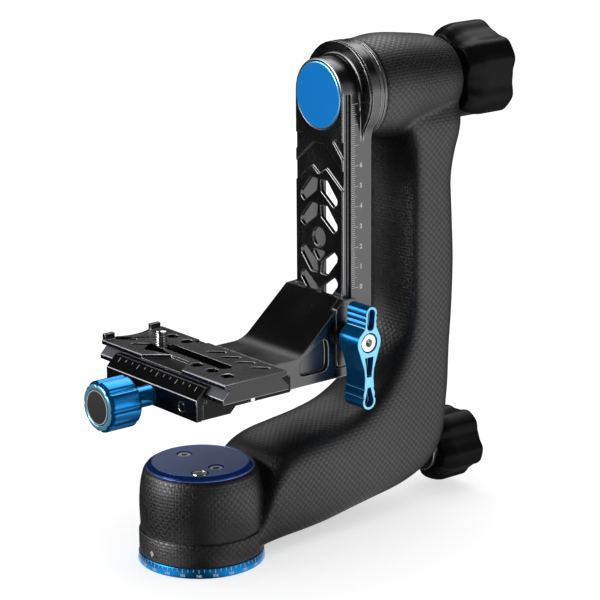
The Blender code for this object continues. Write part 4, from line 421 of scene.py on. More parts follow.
def grained(
    name, colour, worn, roughness, metallic=0.0, specular=0.5, fineness=3200.0, breadth=45.0, depth=0.02
):
    """A blasted, anodised, moulded or turned finish: grain in its height, broad wear in colour and gloss."""
    gloss_change, strength = 0.22, 0.35
    material, graph, shader = new_material(name, colour, roughness, metallic, specular)
    place = graph.add("ShaderNodeTexCoord").outputs["Object"]
    grain = graph.group(GRAIN, Place=place, Fineness=fineness, Breadth=breadth)
    shift = graph.math("MULTIPLY", graph.math("SUBTRACT", grain.outputs["Wear"], 0.5), gloss_change)
    graph.feed(shader.inputs["Roughness"], graph.math("ADD", shift, roughness))
    tint = graph.colour(grain.outputs["Wear"], (*colour, 1.0), (*worn, 1.0))
    graph.feed(shader.inputs["Base Color"], tint)
    bump(graph, shader, grain.outputs["Height"], strength, depth * MM)
    return material


def carbon(name):
    """Woven carbon under satin resin: tows of two directions differ in tone and gloss, and stand proud."""
    dark, light = (0.001, 0.001, 0.001, 1.0), (0.007, 0.0069, 0.0066, 1.0)
    sunk_gloss, proud_gloss, gloss_change = 0.56, 0.36, 0.12
    grain_share, strength, depth = 0.25, 0.8, 0.08 * MM
    material, graph, shader = new_material(name, (0.004, 0.004, 0.004), 0.45, specular=0.66)
    place = graph.add("ShaderNodeAttribute", attribute_name="weave_place").outputs["Vector"]
    face = graph.add("ShaderNodeAttribute", attribute_name="weave_face").outputs["Vector"]
    weave = graph.group(WEAVE, Place=place, Face=face, Repeat=WEAVE_REPEAT)
    here = graph.add("ShaderNodeTexCoord").outputs["Object"]
    grain = graph.group(GRAIN, Place=here, Fineness=2600.0, Breadth=30.0)
    tow = weave.outputs["Tow"]
    graph.feed(shader.inputs["Base Color"], graph.colour(tow, dark, light))
    shift = graph.math("MULTIPLY", graph.math("SUBTRACT", grain.outputs["Wear"], 0.5), gloss_change)
    gloss = graph.blend(tow, sunk_gloss, proud_gloss)
    graph.feed(shader.inputs["Roughness"], graph.math("ADD", gloss, shift))
    fine = graph.math("MULTIPLY", grain.outputs["Height"], grain_share)
    bump(graph, shader, graph.math("ADD", weave.outputs["Height"], fine), strength, depth)
    return material


# Each finish: name, colour, worn colour, roughness, metallic, specular, fineness, breadth, depth
JET = (0.0015, 0.0015, 0.002), (0.0035, 0.0035, 0.004)
CARBON = carbon("carbon_weave")
BLACK = grained("black_anodised", *JET, 0.24, 0.0, 1.0)
BLACK_EDGE = grained("black_edge", (0.20, 0.20, 0.21), (0.32, 0.32, 0.33), 0.24, 0.8, 0.8)
JAW_BLACK = grained("jaw_black", *JET, 0.26, 0.0, 0.35)
# Clamp knob's cap: a grey lighter than black, as painted sheen for the highlight its dome would catch
CAP_SHEEN_BLACK = grained("cap_painted_sheen", (0.030, 0.030, 0.030), (0.040, 0.040, 0.040), 0.4, 0.0, 0.4)
# Lever pocket floors: a navy far darker than the lever's blue, as painted shade in its recesses
POCKET_SHADE_BLUE = grained("pocket_painted_shade", (0.0, 0.012, 0.06), (0.0, 0.016, 0.08), 0.4, 0.3, 0.4)
TURNED_BLACK = grained("turned_black", (0.09, 0.09, 0.092), (0.12, 0.12, 0.12), 0.26, 0.7, 0.8)
BLASTED = grained("blasted_slope", (0.10, 0.10, 0.13), (0.17, 0.17, 0.20), 0.5, 0.3, 0.8, 1500.0, 300.0, 0.05)
BLUE = grained("blue_anodised", (0.0, 0.17, 0.46), (0.0, 0.20, 0.55), 0.22, 0.8, 0.8)
RING_BLUE = grained("ring_blue", (0.0, 0.20, 0.56), (0.0, 0.25, 0.66), 0.26, 0.85, 0.8, depth=0.006)
# Pale blue of bright machined edges; also a painted highlight on the clamp knob's front ring and the lever's
# outer face
BLUE_EDGE_AND_HIGHLIGHT = grained("blue_edge_and_painted_highlight", (0.16, 0.56, 0.80), (0.26, 0.66, 0.88), 0.2, 0.5, 0.8)
DISC_BLUE = grained("disc_blue", (0.0, 0.26, 0.84), (0.0, 0.29, 0.90), 0.3, 0.0, 0.2)
NAVY = grained("navy_anodised", (0.009, 0.026, 0.150), (0.012, 0.032, 0.170), 0.22, 0.3, 0.35)
# Cap's top face: a lighter, duller navy, as painted sheen for the light its top catches
NAVY_SHEEN_TOP = grained("navy_painted_sheen_top", (0.12, 0.17, 0.35), (0.15, 0.20, 0.40), 0.34, 0.0, 0.35)
PALE_STEEL = grained("pale_steel", (0.58, 0.58, 0.60), (0.66, 0.66, 0.67), 0.34, 0.2, 0.5)
# Lens plate's top face: a grey lighter than its black, as painted sheen for the light its top catches
PLATE_TOP_SHEEN = grained("plate_top", (0.050, 0.050, 0.050), (0.068, 0.068, 0.068), 0.24, 0.0, 1.0)
# Lens plate's +X end: a less glossy copy of the black, as painted shade on that side
END_SHADE_BLACK = grained("end_painted_shade", *JET, 0.24, 0.0, 0.5)
# Plate's recess floors and the clamp's +X ends: a dull copy of the black, as painted shade
PIT_SHADE_BLACK = grained("pit_painted_shade", *JET, 0.3, 0.0, 0.12)
RUBBER = grained(
    "grip_rubber", (0.003, 0.003, 0.003), (0.005, 0.005, 0.005), 0.36, 0.0, 0.08, 1800.0, 60.0, 0.03
)
STEEL = grained("bright_steel", (0.55, 0.55, 0.56), (0.68, 0.68, 0.68), 0.2, 1.0, 0.5, 4200.0, 90.0, 0.01)
STEEL_EDGE = grained("steel_edge", (0.75, 0.75, 0.75), (0.85, 0.85, 0.85), 0.16, 1.0)
ALUMINIUM = grained("plain_aluminium", (0.5, 0.5, 0.51), (0.6, 0.6, 0.61), 0.34, 1.0)
BRASS = grained("brass", (0.62, 0.44, 0.17), (0.72, 0.55, 0.25), 0.28, 1.0)
POLYMER = grained("friction_polymer", (0.20, 0.19, 0.17), (0.27, 0.26, 0.24), 0.6)
WHITE_INK = grained("white_ink", (0.62, 0.63, 0.64), (0.74, 0.75, 0.76), 0.55)
RIM_BLUE = grained("rim_blue", (0.08, 0.24, 0.70), (0.12, 0.30, 0.78), 0.22, 0.4, 0.6)
LEVEL_LIQUID = grained(
    "level_liquid", (0.24, 0.27, 0.16), (0.30, 0.33, 0.20), 0.08, 0.0, 0.6, 900.0, 200.0, 0.002
)


def clear_glass(name):
    material, _, shader = new_material(name, (0.92, 0.97, 0.90), 0.04)
    shader.inputs["Transmission Weight"].default_value = 0.9
    shader.inputs["IOR"].default_value = 1.47
    return material


GLASS = clear_glass("level_glass")


def dress(piece, body, slot, *materials, stands_for=()):
    """Gives a piece its materials, its body and the nodes that it stands for; the slot it is given is not
    used.
    """
    piece.data.materials.clear()
    for material in materials:
        piece.data.materials.append(material)
    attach(piece, body)
    if stands_for:
        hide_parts(*stands_for)
    return piece


def add_look(piece, look):
    """Adds a material to a piece and returns its index."""
    piece.data.materials.append(look)
    return len(piece.data.materials) - 1


def machined(node, material, edge, width):
    """A merged copy of a node whose edges are softened and wear their own finish."""
    mesh = nodes[node].data.copy()
    mesh.name = f"{node}_finish"
    tidy(mesh, 30.0, flatten=True)
    piece = link(bpy.data.objects.new(f"{node}_finish", mesh))
    bevel = piece.modifiers.new("softened_edges", "BEVEL")
    bevel.width = width
    bevel.segments = 2
    bevel.limit_method = "ANGLE"
    bevel.angle_limit = BEVEL_ANGLE
    bevel.use_clamp_overlap = False
    bevel.miter_outer = "MITER_ARC"
    bevel.material = 1
    flat = piece.modifiers.new("flat_faces", "WEIGHTED_NORMAL")
    flat.weight = 100
    flat.keep_sharp = True
    return dress(piece, body_of[node], slot_of[node], material, edge, stands_for=(node,))


# The arm: reach, elbow, upright and barrel as one moulded skin

def arm_rows():
    """(inner y, inner z, outer y, outer z, half width) of each section, from the drum to the top."""
    length = ARM_FRONT - BAND_RADIUS
    depth = ARM_BACK - ARM_FRONT
    upright = ARM_TOP - ELBOW_HEIGHT
    low = DRUM_BOTTOM + 0.3 * MM
    root, reach, rise = (np.array(shares).T for shares in (ROOT_SHARES, REACH_SHARES, UPRIGHT_SHARES))
    root = [
        root[0] * BAND_RADIUS,
        root[1] * DRUM_TOP,
        root[2] * BAND_RADIUS,
        low + root[3] * ELBOW_HEIGHT,
        root[4] * ROOT_HALF_WIDTH,
    ]
    reach = [
        BAND_RADIUS + reach[0] * length,
        reach[1] * ELBOW_HEIGHT,
        BAND_RADIUS + reach[2] * length,
        low + reach[3] * ELBOW_HEIGHT,
        reach[4] * ARM_HALF_WIDTH,
    ]
    rise = [
        ARM_FRONT - rise[0] * depth,
        ELBOW_HEIGHT + rise[1] * upright,
        np.minimum(ARM_BACK + rise[2] * depth, BARREL_BACK),
        ELBOW_HEIGHT + rise[3] * upright,
        rise[4] * ARM_HALF_WIDTH,
    ]
    return smooth_rows(np.concatenate([root, reach, rise], 1).T, 5)


def arm_grid(columns=72):
    """Each section is a superellipse between its inner and outer point, across its half width."""
    rows = arm_rows()
    inner = np.stack([np.zeros(len(rows)), rows[:, 0], rows[:, 1]], 1)
    outer = np.stack([np.zeros(len(rows)), rows[:, 2], rows[:, 3]], 1)
    angle = np.arange(columns) * TAU / columns
    power = 2 / SECTION_POWER
    across = np.sign(np.cos(angle)) * np.abs(np.cos(angle)) ** power
    along = np.sign(np.sin(angle)) * np.abs(np.sin(angle)) ** power
    grid = (inner + outer)[:, None] / 2 + (outer - inner)[:, None] / 2 * along[None, :, None]
    grid[..., 0] += across[None] * rows[:, 4][:, None]
    return grid


def barrel_outline():
    """The barrel's profile, radius and place along Y, smooth from its tail to its front."""
    shares = np.array(BARREL_SHARES)
    fall = BARREL_RADIUS - TAIL_RADIUS
    length = BARREL_BACK - BARREL_FRONT
    rows = np.stack([TAIL_RADIUS + shares[:, 0] * fall, BARREL_BACK - shares[:, 1] * length], 1)
    curve = smooth_rows(rows, 6)
    return np.concatenate([[[0.0, BARREL_BACK]], curve, [[0.0, BARREL_FRONT]]])


def drum_outline(inset=0.0):
    """The drum's profile, radius and height, from its neck under the cap to the band at its foot."""
    shares = np.array(DRUM_SHARES)
    groove_top = BAND_TOP + GROOVE_HEIGHT
    rows = np.stack(
        [
            NECK_RADIUS + shares[:, 0] * (BELLY_RADIUS - NECK_RADIUS),
            DRUM_TOP - shares[:, 1] * (DRUM_TOP - groove_top),
        ],
        1,
    )
    rows = smooth_rows(np.concatenate([rows, [[WAIST_RADIUS, groove_top]]]), 6)
    foot = [
        (GROOVE_RADIUS, groove_top - GROOVE_HEIGHT / 3),
        (GROOVE_RADIUS, BAND_TOP),
        (BAND_RADIUS - GROOVE_HEIGHT / 2, BAND_TOP),
        (BAND_RADIUS, BAND_TOP - GROOVE_HEIGHT),
        (BAND_RADIUS, DRUM_BOTTOM),
        (0.0, DRUM_BOTTOM),
    ]
    outline = np.concatenate([[[0.0, DRUM_TOP]], rows, foot])
    outline[:, 0] = np.maximum(outline[:, 0] - inset, 0.0)
    return outline


def weave_attributes(piece, place, face):
    for name, values in (("weave_place", place), ("weave_face", face)):
        attribute = piece.data.attributes.new(name, "FLOAT_VECTOR", "POINT")
        attribute.data.foreach_set("vector", np.ascontiguousarray(values, np.float32).ravel())


def read_points(mesh, what="co"):
    values = np.zeros(len(mesh.vertices) * 3)
    mesh.vertices.foreach_get(what, values)
    return values.reshape(-1, 3)


def evaluated_mesh(piece):
    """The piece's mesh with its modifiers worked out."""
    bpy.context.view_layer.update()
    depsgraph = bpy.context.evaluated_depsgraph_get()
    return bpy.data.meshes.new_from_object(piece.evaluated_get(depsgraph))


def build_arm():
    """Loft, barrel and drum core, joined by a voxel remesh and relaxed, which leaves soft fillets."""
    core_inset, voxel, relax_share, relax_turns = 0.8 * MM, 0.95 * MM, 0.5, 14
    loft = surface("arm_loft", arm_grid())
    barrel = turned("arm_barrel", barrel_outline(), "y", (0.0, 0.0, TILT_HEIGHT))
    core = turned("arm_core", drum_outline(core_inset))
    rough = bmesh.new()
    for part in (loft, barrel, core):
        rough.from_mesh(part.data)
    mesh = bpy.data.meshes.new("arm_skin")
    rough.to_mesh(mesh)
    rough.free()
    for part in (loft, barrel, core):
        bpy.data.objects.remove(part)
    draft = link(bpy.data.objects.new("arm_draft", mesh))
    remesh = draft.modifiers.new("join", "REMESH")
    remesh.mode = "VOXEL"
    remesh.voxel_size = voxel
    relax = draft.modifiers.new("relax", "SMOOTH")
    relax.factor = relax_share
    relax.iterations = relax_turns
    skin_mesh = evaluated_mesh(draft)
    bpy.data.objects.remove(draft)
    skin_mesh.name = "arm_skin"
    tidy(skin_mesh, 80.0)
    skin = link(bpy.data.objects.new("arm_skin", skin_mesh))
    place = read_points(skin_mesh)
    face = read_points(skin_mesh, "normal")
    height = place[:, 2] - TILT_HEIGHT
    round_top = np.hypot(place[:, 0], height) < BARREL_RADIUS + MM
    upper = round_top & (height > 0.0)
    angle = np.arctan2(place[:, 0], height)
    roll = WEAVE_REPEAT * round(math.pi * BARREL_RADIUS / WEAVE_REPEAT) / math.pi
    wrapped = place.copy()
    wrapped[:, 2] = TILT_HEIGHT + roll * (math.pi / 2 - angle)
    place = np.where(upper[:, None], wrapped, place)
    face = np.where(upper[:, None], np.array([1.0, 0.0, 0.0]), face)
    weave_attributes(skin, place, face)
    dress(skin, "arm", "carbon_moulding", CARBON, stands_for=("arm_shell",))

    drum = turned("drum_skin", drum_outline(), steps=180, sharp=30.0)
    place = read_points(drum.data)
    angle = np.arctan2(place[:, 1], place[:, 0])
    turns = round(TAU * BELLY_RADIUS / WEAVE_REPEAT)
    wrapped = np.stack([np.zeros(len(place)), angle / TAU * turns * WEAVE_REPEAT, place[:, 2]], 1)
    weave_attributes(drum, wrapped, np.broadcast_to([1.0, 0.0, 0.0], place.shape))
    dress(drum, "arm", "carbon_moulding", CARBON)


# Drum cap, base ring and level

def centre_of(node):
    """The middle of a node's box, at ground level."""
    low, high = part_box(node)
    return (low.x + high.x) / 2, (low.y + high.y) / 2, 0.0


def radius_of(node):
    low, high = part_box(node)
    return (high.x - low.x) / 2


def band(inner, outer, bottom, top):
    """The four corners of a ring's section, radius and height."""
    return [(inner, bottom), (outer, bottom), (outer, top), (inner, top)]


def build_cap():
    """A bevelled disc with a well for each screw and for the level, and a fine bright ring at each edge."""
    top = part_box("drum_cap")[1].z
    rim = DRUM_TOP + 0.3 * MM
    face_radius, radius, lip = 22.9 * MM, 25.5 * MM, 0.6 * MM
    well, lead, flare, above = rim + 0.1 * MM, 0.25 * MM, 0.3 * MM, 0.05 * MM
    outline = [(0.0, top), (face_radius, top), (radius, rim + lip), (radius, rim), (0.0, rim)]
    cap = turned("cap_skin", rounded(outline, 0.25 * MM, 3), steps=180)
    for node, clear in (("cap_screw_1", 0.25 * MM), ("cap_screw_2", 0.25 * MM), ("bubble_level", 0.2 * MM)):
        reach = radius_of(node) + clear
        outline = [(0.0, well), (reach, well), (reach, top - lead), (reach + flare, top + above)]
        outline += [(reach + flare, top + MM), (0.0, top + MM)]
        hollow = turned(f"{node}_well", outline, at=centre_of(node), steps=64)
        sink = cap.modifiers.new(node, "BOOLEAN")
        sink.operation = "DIFFERENCE"
        sink.solver = "EXACT"
        sink.object = hollow
        cap_mesh = evaluated_mesh(cap)
        cap.modifiers.clear()
        cap.data = cap_mesh
        bpy.data.objects.remove(hollow)
    cap.data.name = "cap_skin"
    cap.data.shade_smooth()
    cap.data.set_sharp_from_angle(angle=math.radians(35.0))
    dress(cap, "arm", "navy_anodised", NAVY, NAVY_SHEEN_TOP, stands_for=("drum_cap",))
    # The top face takes the lighter navy, a painted sheen
    for face in cap.data.polygons:
        if face.normal.z > FACING and face.center.z > top - NEAR:
            face.material_index = 1
    outer, seat = 0.35 * MM, 0.1 * MM
    outline = band(radius - 1.2 * MM, radius + outer, rim - outer, rim + seat)
    rim_ring = turned("cap_rim", rounded(outline, 0.15 * MM, 2, True), steps=180, ring=True)
    dress(rim_ring, "arm", "navy_anodised", RIM_BLUE)
    inner, proud, slope = face_radius - seat, top + 0.06 * MM, 0.15 * MM
    outline = [(inner, top - seat), (face_radius + outer, top - seat)]
    outline += [(face_radius + outer - slope, proud), (inner, proud)]
    edge_ring = turned("cap_edge", rounded(outline, 0.05 * MM, 2, True), steps=180, ring=True)
    dress(edge_ring, "arm", "navy_anodised", RIM_BLUE)


def build_sockets():
    """A black hexagon fills the mouth of each socket in the cap's screws, as painted shade for the hollow."""
    socket_share, sunk = 0.42, 0.3 * MM
    for node in ("cap_screw_1", "cap_screw_2"):
        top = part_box(node)[1].z
        reach = socket_share * radius_of(node)
        outline = [(0.0, top - sunk), (reach, top - sunk), (reach, top + PROUD), (0.0, top + PROUD)]
        socket = turned(f"{node}_socket", outline, at=centre_of(node), steps=6)
        dress(socket, "arm", "bright_steel", BLACK)


def on_ring(bottom_radius, top_radius, height):
    """Places marks on the ring's slope: across is an angle in degrees, up a height, out is off the face."""

    def place(points):
        angle = np.radians(points[:, 0])
        reach = bottom_radius + (top_radius - bottom_radius) * points[:, 1] / height + points[:, 2]
        return np.stack([reach * np.cos(angle), reach * np.sin(angle), points[:, 1]], 1)

    return place


def build_base():
    """The ring with its soft edges, and a scale that runs clockwise from its zero, 15 degrees a number."""
    bottom, top, height, inner, bevel = 30.5 * MM, 30.0 * MM, 5.0 * MM, 9.3 * MM, 0.4 * MM
    outline = [(inner, 0.0), (bottom - bevel, 0.0), (bottom, bevel), (top, height - bevel)]
    outline += [(top - bevel, height), (inner, height)]
    ring = turned("base_skin", rounded(outline, 0.2 * MM, 3, True), steps=240, ring=True)
    dress(ring, "base", "blue_anodised", RING_BLUE, stands_for=("panning_base",))
    place = on_ring(bottom, top, height)
    zero, step, half = 200.5, 5.0, 0.22
    high, short, long = 4.5 * MM, 1.2 * MM, 1.9 * MM
    boxes = []
    for k in range(72):
        length = (short, long)[k % 3 == 0]
        turn = zero - step * k
        boxes.append(((turn - half, high - length, -PROUD), (turn + half, high, PROUD)))
    ticks = marks("degree_ticks", boxes, place)
    dress(ticks, "base", "blue_anodised", WHITE_INK)
    size, line = 1.75 * MM, 1.35 * MM
    per_metre = 180 / math.pi / bottom

    def place_letters(points):
        spread = points.copy()
        spread[:, 0] = spread[:, 0] * per_metre
        return place(spread)

    labels = [(str(15 * k), (zero - 15 * k) / per_metre, line) for k in range(24)]
    letters = numbers("degree_numbers", labels, size, place_letters)
    dress(letters, "base", "blue_anodised", WHITE_INK)


def build_index():
    """The index mark on the drum's band: a diamond with a smaller one left open in it."""
    turn, half, middle, tall, open_share = -88.8, 2.5, 8.6 * MM, 1.65 * MM, 0.3
    diamond = [[turn - half, middle], [turn, middle - tall], [turn + half, middle], [turn, middle + tall]]
    points = np.array(diamond)
    points = np.concatenate([points, (points - points.mean(0)) * open_share + points.mean(0)])
    angle = np.radians(points[:, 0])
    layers = (BAND_RADIUS - PROUD, BAND_RADIUS + PROUD)
    shell = [np.stack([r * np.cos(angle), r * np.sin(angle), points[:, 1]], 1) for r in layers]
    faces = []
    for k in range(4):
        after = (k + 1) % 4
        faces += [[k, after, after + 4, k + 4], [k + 8, k + 12, after + 12, after + 8]]
        faces += [[k, k + 8, after + 8, after], [k + 4, after + 4, after + 12, k + 12]]
    index = mesh_piece("index_mark", np.concatenate(shell), faces)
    dress(index, "arm", "carbon_moulding", WHITE_INK)


def build_level():
    """The vial's shallow dome, whose edge starts half a millimetre under its top, and the ring on it."""
    low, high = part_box("bubble_vial")
    radius = radius_of("bubble_vial")
    base, top = low.z, high.z
    edge, swell = 0.5 * MM, 0.55 * MM
    angle = np.linspace(0.0, math.pi / 2, 12)
    dome = np.stack([radius * np.cos(angle), top - edge + swell * np.sin(angle)], 1)
    outline = np.concatenate([[[0.0, base], [radius, base]], dome])
    vial = turned("vial_skin", outline, at=centre_of("bubble_vial"), steps=64)
    dress(vial, "arm", "level_glass", LEVEL_LIQUID, stands_for=("bubble_vial",))
    outline = rounded(band(0.95 * MM, 1.15 * MM, top - 0.1 * MM, top + 0.09 * MM), 0.04 * MM, 2, True)
    ring = turned("vial_ring", outline, at=centre_of("bubble_vial"), steps=48, ring=True)
    dress(ring, "arm", "level_glass", BLACK)


# Lobed grip knobs

def ring_grid(reach, turn, height):
    """Points round Z: the reach of each row and column, the turn of each column, the height of each row."""
    heights = np.repeat(height, len(turn), 1)
    return np.stack([reach * np.sin(turn), reach * np.cos(turn), heights], -1)


def lobed_knob(name, node, body, radius, length, phase, centre_z):
    """A lobed grip: the lobes' radius less a smooth valley between each two, times a side profile."""
    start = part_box(node)[0].y
    columns, lobes, waist, crest = 240, 5, 0.13, 0.12
    angle = np.arange(columns) * TAU / columns
    wave = 0.5 - 0.5 * np.cos(lobes * angle)
    valley = np.clip((wave - crest) / (1 - crest), 0.0, 1.0)
    valley = valley * valley * (3 - 2 * valley)
    reach = radius * (1 - waist * valley)
    chamfer, slope = 0.18 * radius, 0.42 * radius
    edge, lip, sill, flat = 2.4 * MM, 1.2 * MM, 0.35 * MM, 3.0 * MM
    side = [
        (radius, 0.0),
        (chamfer + lip, 0.0),
        (chamfer, sill),
        (0.5 * chamfer, 0.32 * slope),
        (0.14 * chamfer, 0.72 * slope),
        (0.0, slope + lip / 2),
        (0.0, length - edge),
        (0.3 * edge, length - 0.3 * edge),
        (edge, length),
        (edge + flat, length),
        (radius, length),
    ]
    inward, height = np.split(rounded(side, 1.3 * MM, 4), 2, 1)
    reach = np.maximum(reach[None] - inward, 0.0)
    grid = ring_grid(reach, angle + math.radians(phase), height)
    knob = surface(name, laid(grid, "y", (0.0, start, centre_z)), 40.0)
    return dress(knob, body, "grip_rubber", RUBBER, stands_for=(node,))


def build_knobs():
    lobed_knob("tilt_knob_skin", "tilt_knob", "tilt_lock", 24.5 * MM, 28.4 * MM, -22.0, TILT_HEIGHT)
    lobed_knob("pan_knob_skin", "pan_knob", "pan_lock", 18.6 * MM, 25.2 * MM, 3.0, PAN_LOCK_HEIGHT)


# Fluted knob of the clamp

def build_clamp_knob():
    """The fluted grip: a radius less eight round flutes, times a side profile with soft ends."""
    low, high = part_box("clamp_knob")
    centre = (0.0, low.y, CLAMP_KNOB_HEIGHT)
    length = high.y - low.y
    radius, cap_radius, cap_depth = 12.2 * MM, 8.5 * MM, 1.5 * MM
    columns, flute_width, flute_depth, flute_fade = 240, 0.55, 0.075, 3.2 * MM
    angle = np.arange(columns) * TAU / columns
    flute = np.clip(1 - np.abs(np.sin(4 * angle)) / flute_width, 0.0, 1.0)
    reach = radius * (1 - flute_depth * flute * flute * (3 - 2 * flute))
    side = [
        (radius, cap_depth),
        (radius - cap_radius, cap_depth),
        (radius - cap_radius, 0.3 * MM),
        (3.0 * MM, 0.0),
        (1.6 * MM, 0.25 * MM),
        (0.0, 2.0 * MM),
        (0.0, length - 1.6 * MM),
        (1.2 * MM, length - 0.2 * MM),
        (2.4 * MM, length),
        (radius, length),
    ]
    inward, height = np.split(rounded(side, 0.5 * MM, 4), 2, 1)
    blend = np.clip(1 - inward / flute_fade, 0.0, 1.0)
    reach = np.maximum(radius - (radius - reach)[None] * blend - inward, 0.0)
    knob = surface("clamp_knob_skin", laid(ring_grid(reach, angle, height), "y", centre), 35.0)
    dress(knob, "clamp_knob", "blue_anodised", BLUE, BLUE_EDGE_AND_HIGHLIGHT, stands_for=("clamp_knob",))
    # The front ring takes the pale blue as a painted highlight, which its dark front face would not catch
    front = low.y + 0.9 * MM
    for face in knob.data.polygons:
        face.material_index = int(face.center.y < front)
    face_radius, back, step = 8.2 * MM, 1.3 * MM, 0.35 * MM
    outline = [(0.0, back), (face_radius, back), (face_radius, step), (7.6 * MM, 0.1 * MM), (0.0, 0.0)]
    cap = turned("knob_cap_skin", rounded(outline, 0.3 * MM, 3), "y", centre, 96)
    # The cap's lighter grey is painted sheen
    dress(cap, "clamp_knob", "black_anodised", CAP_SHEEN_BLACK, stands_for=("clamp_knob_cap",))
    outline = rounded(band(7.75 * MM, 8.1 * MM, step, 0.05 * MM), 0.06 * MM, 2, True)
    line = turned("knob_cap_line", outline, "y", centre, 96, ring=True)
    dress(line, "clamp_knob", "black_anodised", WHITE_INK)


# Marks of the ruler and the jaw

def build_ruler():
    """A millimetre scale on the rail's side, 0 to 9 cm, with longer lines at each 5 and 10 mm."""

    def place(points):
        return np.stack([RAIL_SIDE + points[:, 2], points[:, 0], points[:, 1]], 1)

    zero, start, number_place = 122.5 * MM, 79.7 * MM, 85.4 * MM
    lengths, half, size = (1.9 * MM, 2.9 * MM, 4.0 * MM), 0.11 * MM, 3.3 * MM
    boxes = []
    for k in range(91):
        length = lengths[(k % 5 == 0) + (k % 10 == 0)]
        middle = zero + k * MM
        boxes.append(((start, middle - half, -PROUD), (start + length, middle + half, PROUD)))
    ticks = marks("ruler_ticks", boxes, place)
    dress(ticks, "swing_arm", "black_anodised", WHITE_INK)
    labels = [(str(k), number_place, zero + 10 * k * MM) for k in range(7)]
    letters = numbers("ruler_numbers", labels, size, place)
    dress(letters, "swing_arm", "black_anodised", WHITE_INK)


def build_jaw_marks():
    """Short lines across the jaw's slope, which runs from its shoulder to its crest."""
    low = np.array([-28.0, 92.4]) * MM
    high = np.array([-22.4, 97.8]) * MM
    reach = np.linalg.norm(high - low)
    slope = (high - low) / reach
    out = np.array([-slope[1], slope[0]])
    step, half, end_share, length_shares = 5.0 * MM, 0.13 * MM, 0.84, (0.16, 0.3)

    def place(points):
        at = low + slope * points[:, 1:2] + out * points[:, 2:3]
        return np.stack([points[:, 0], at[:, 0], at[:, 1]], 1)

    boxes = []
    for k in range(-6, 7):
        length = length_shares[k % 3 == 0] * reach
        end = end_share * reach
        across = step * k
        boxes.append(((across - half, end - length, -PROUD), (across + half, end, PROUD)))
    lines = marks("jaw_lines", boxes, place)
    dress(lines, "front_jaw", "black_anodised", WHITE_INK)


def build_camera_screw():
    """A helical thread: the radius is that of the core plus a ridge that climbs one pitch a turn."""
    low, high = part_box("camera_screw")
    radius, pitch, depth = 3.1 * MM, 1.27 * MM, 0.55 * MM
    head, head_height, bevel, tip, plain = 5.6 * MM, 1.6 * MM, 0.3 * MM, 0.4 * MM, 1.4 * MM
    top = high.z
    shoulder = low.z + head_height
    columns, rows, flank, valley = 72, 130, 2.4, 0.1
    angle = np.arange(columns) * TAU / columns
    height = np.linspace(shoulder, top - tip, rows)[:, None]
    phase = (height / pitch - angle[None] / TAU) % 1.0
    ridge = np.clip(flank * np.abs(phase - 0.5) - valley, 0.0, 1.0)
    fade = np.clip((height - shoulder - plain) / pitch, 0.0, 1.0)
    reach = radius - depth * ridge * fade

    def rings(profile):
        grid = [[r * np.cos(angle), r * np.sin(angle), np.full(columns, z)] for r, z in profile]
        return np.array(grid).transpose(0, 2, 1)

    under = rings(((0.0, low.z), (head - bevel, low.z), (head, low.z + bevel), (head, shoulder)))
    shank = np.stack([reach * np.cos(angle), reach * np.sin(angle), np.repeat(height, columns, 1)], -1)
    grid = np.concatenate([under, shank, rings(((radius - depth - 0.05 * MM, top), (0.0, top)))])
    screw = surface("camera_screw_skin", grid + np.asarray(centre_of("camera_screw")), 50.0)
    dress(screw, "camera_screw", "bright_steel", STEEL, stands_for=("camera_screw",))


# CAD nodes that keep their shape

PLATE_TOP_HEIGHT = next(m["pos_m"][2] for m in frame["record"]["mounts"] if m["name"] == "plate_top")
# The finish of faces and of edges, and the edge's width in millimetres
EDGED = {
    "swing_plate": (BLACK, BLACK_EDGE, 0.32),
    "bracket": (BLACK, BLACK_EDGE, 0.4),
    "bracket_cheek": (BLACK, BLACK_EDGE, 0.4),
    "clamp_base": (BLACK, BLACK_EDGE, 0.35),
    "front_jaw": (JAW_BLACK, BLACK_EDGE, 0.4),
    "lens_plate": (BLACK, BLACK_EDGE, 0.28),
    "lever_collar": (BLACK, BLACK_EDGE, 0.3),
    "tilt_end_ring": (TURNED_BLACK, BLACK_EDGE, 0.35),
    "pan_lock_bush": (BLACK, BLACK_EDGE, 0.4),
    "hub_disc": (DISC_BLUE, BLUE_EDGE_AND_HIGHLIGHT, 0.25),
    "bracket_lever": (BLUE, BLUE_EDGE_AND_HIGHLIGHT, 0.2),
    "clamp_knob_collar": (BLUE, BLUE_EDGE_AND_HIGHLIGHT, 0.3),
    "lever_screw": (STEEL, STEEL_EDGE, 0.25),
    "tilt_washer": (STEEL, STEEL_EDGE, 0.3),
    "cap_screw_1": (PALE_STEEL, STEEL_EDGE, 0.15),
    "cap_screw_2": (PALE_STEEL, STEEL_EDGE, 0.15),
    "bubble_level": (PALE_STEEL, STEEL_EDGE, 0.2),
    "plate_stop_1": (STEEL, STEEL_EDGE, 0.25),
    "plate_stop_2": (STEEL, STEEL_EDGE, 0.25),
    "guide_pin_1": (BLACK, BLACK, 0.2),
    "guide_pin_2": (BLACK, BLACK, 0.2),
}
SLOT_FINISH = {
    "bright_steel": STEEL,
    "plain_aluminium": ALUMINIUM,
    "brass": BRASS,
    "friction_polymer": POLYMER,
    "black_anodised": BLACK,
    "blue_anodised": BLUE,
    "navy_anodised": NAVY,
    "carbon_moulding": BLACK,
    "grip_rubber": RUBBER,
    "level_glass": GLASS,
}


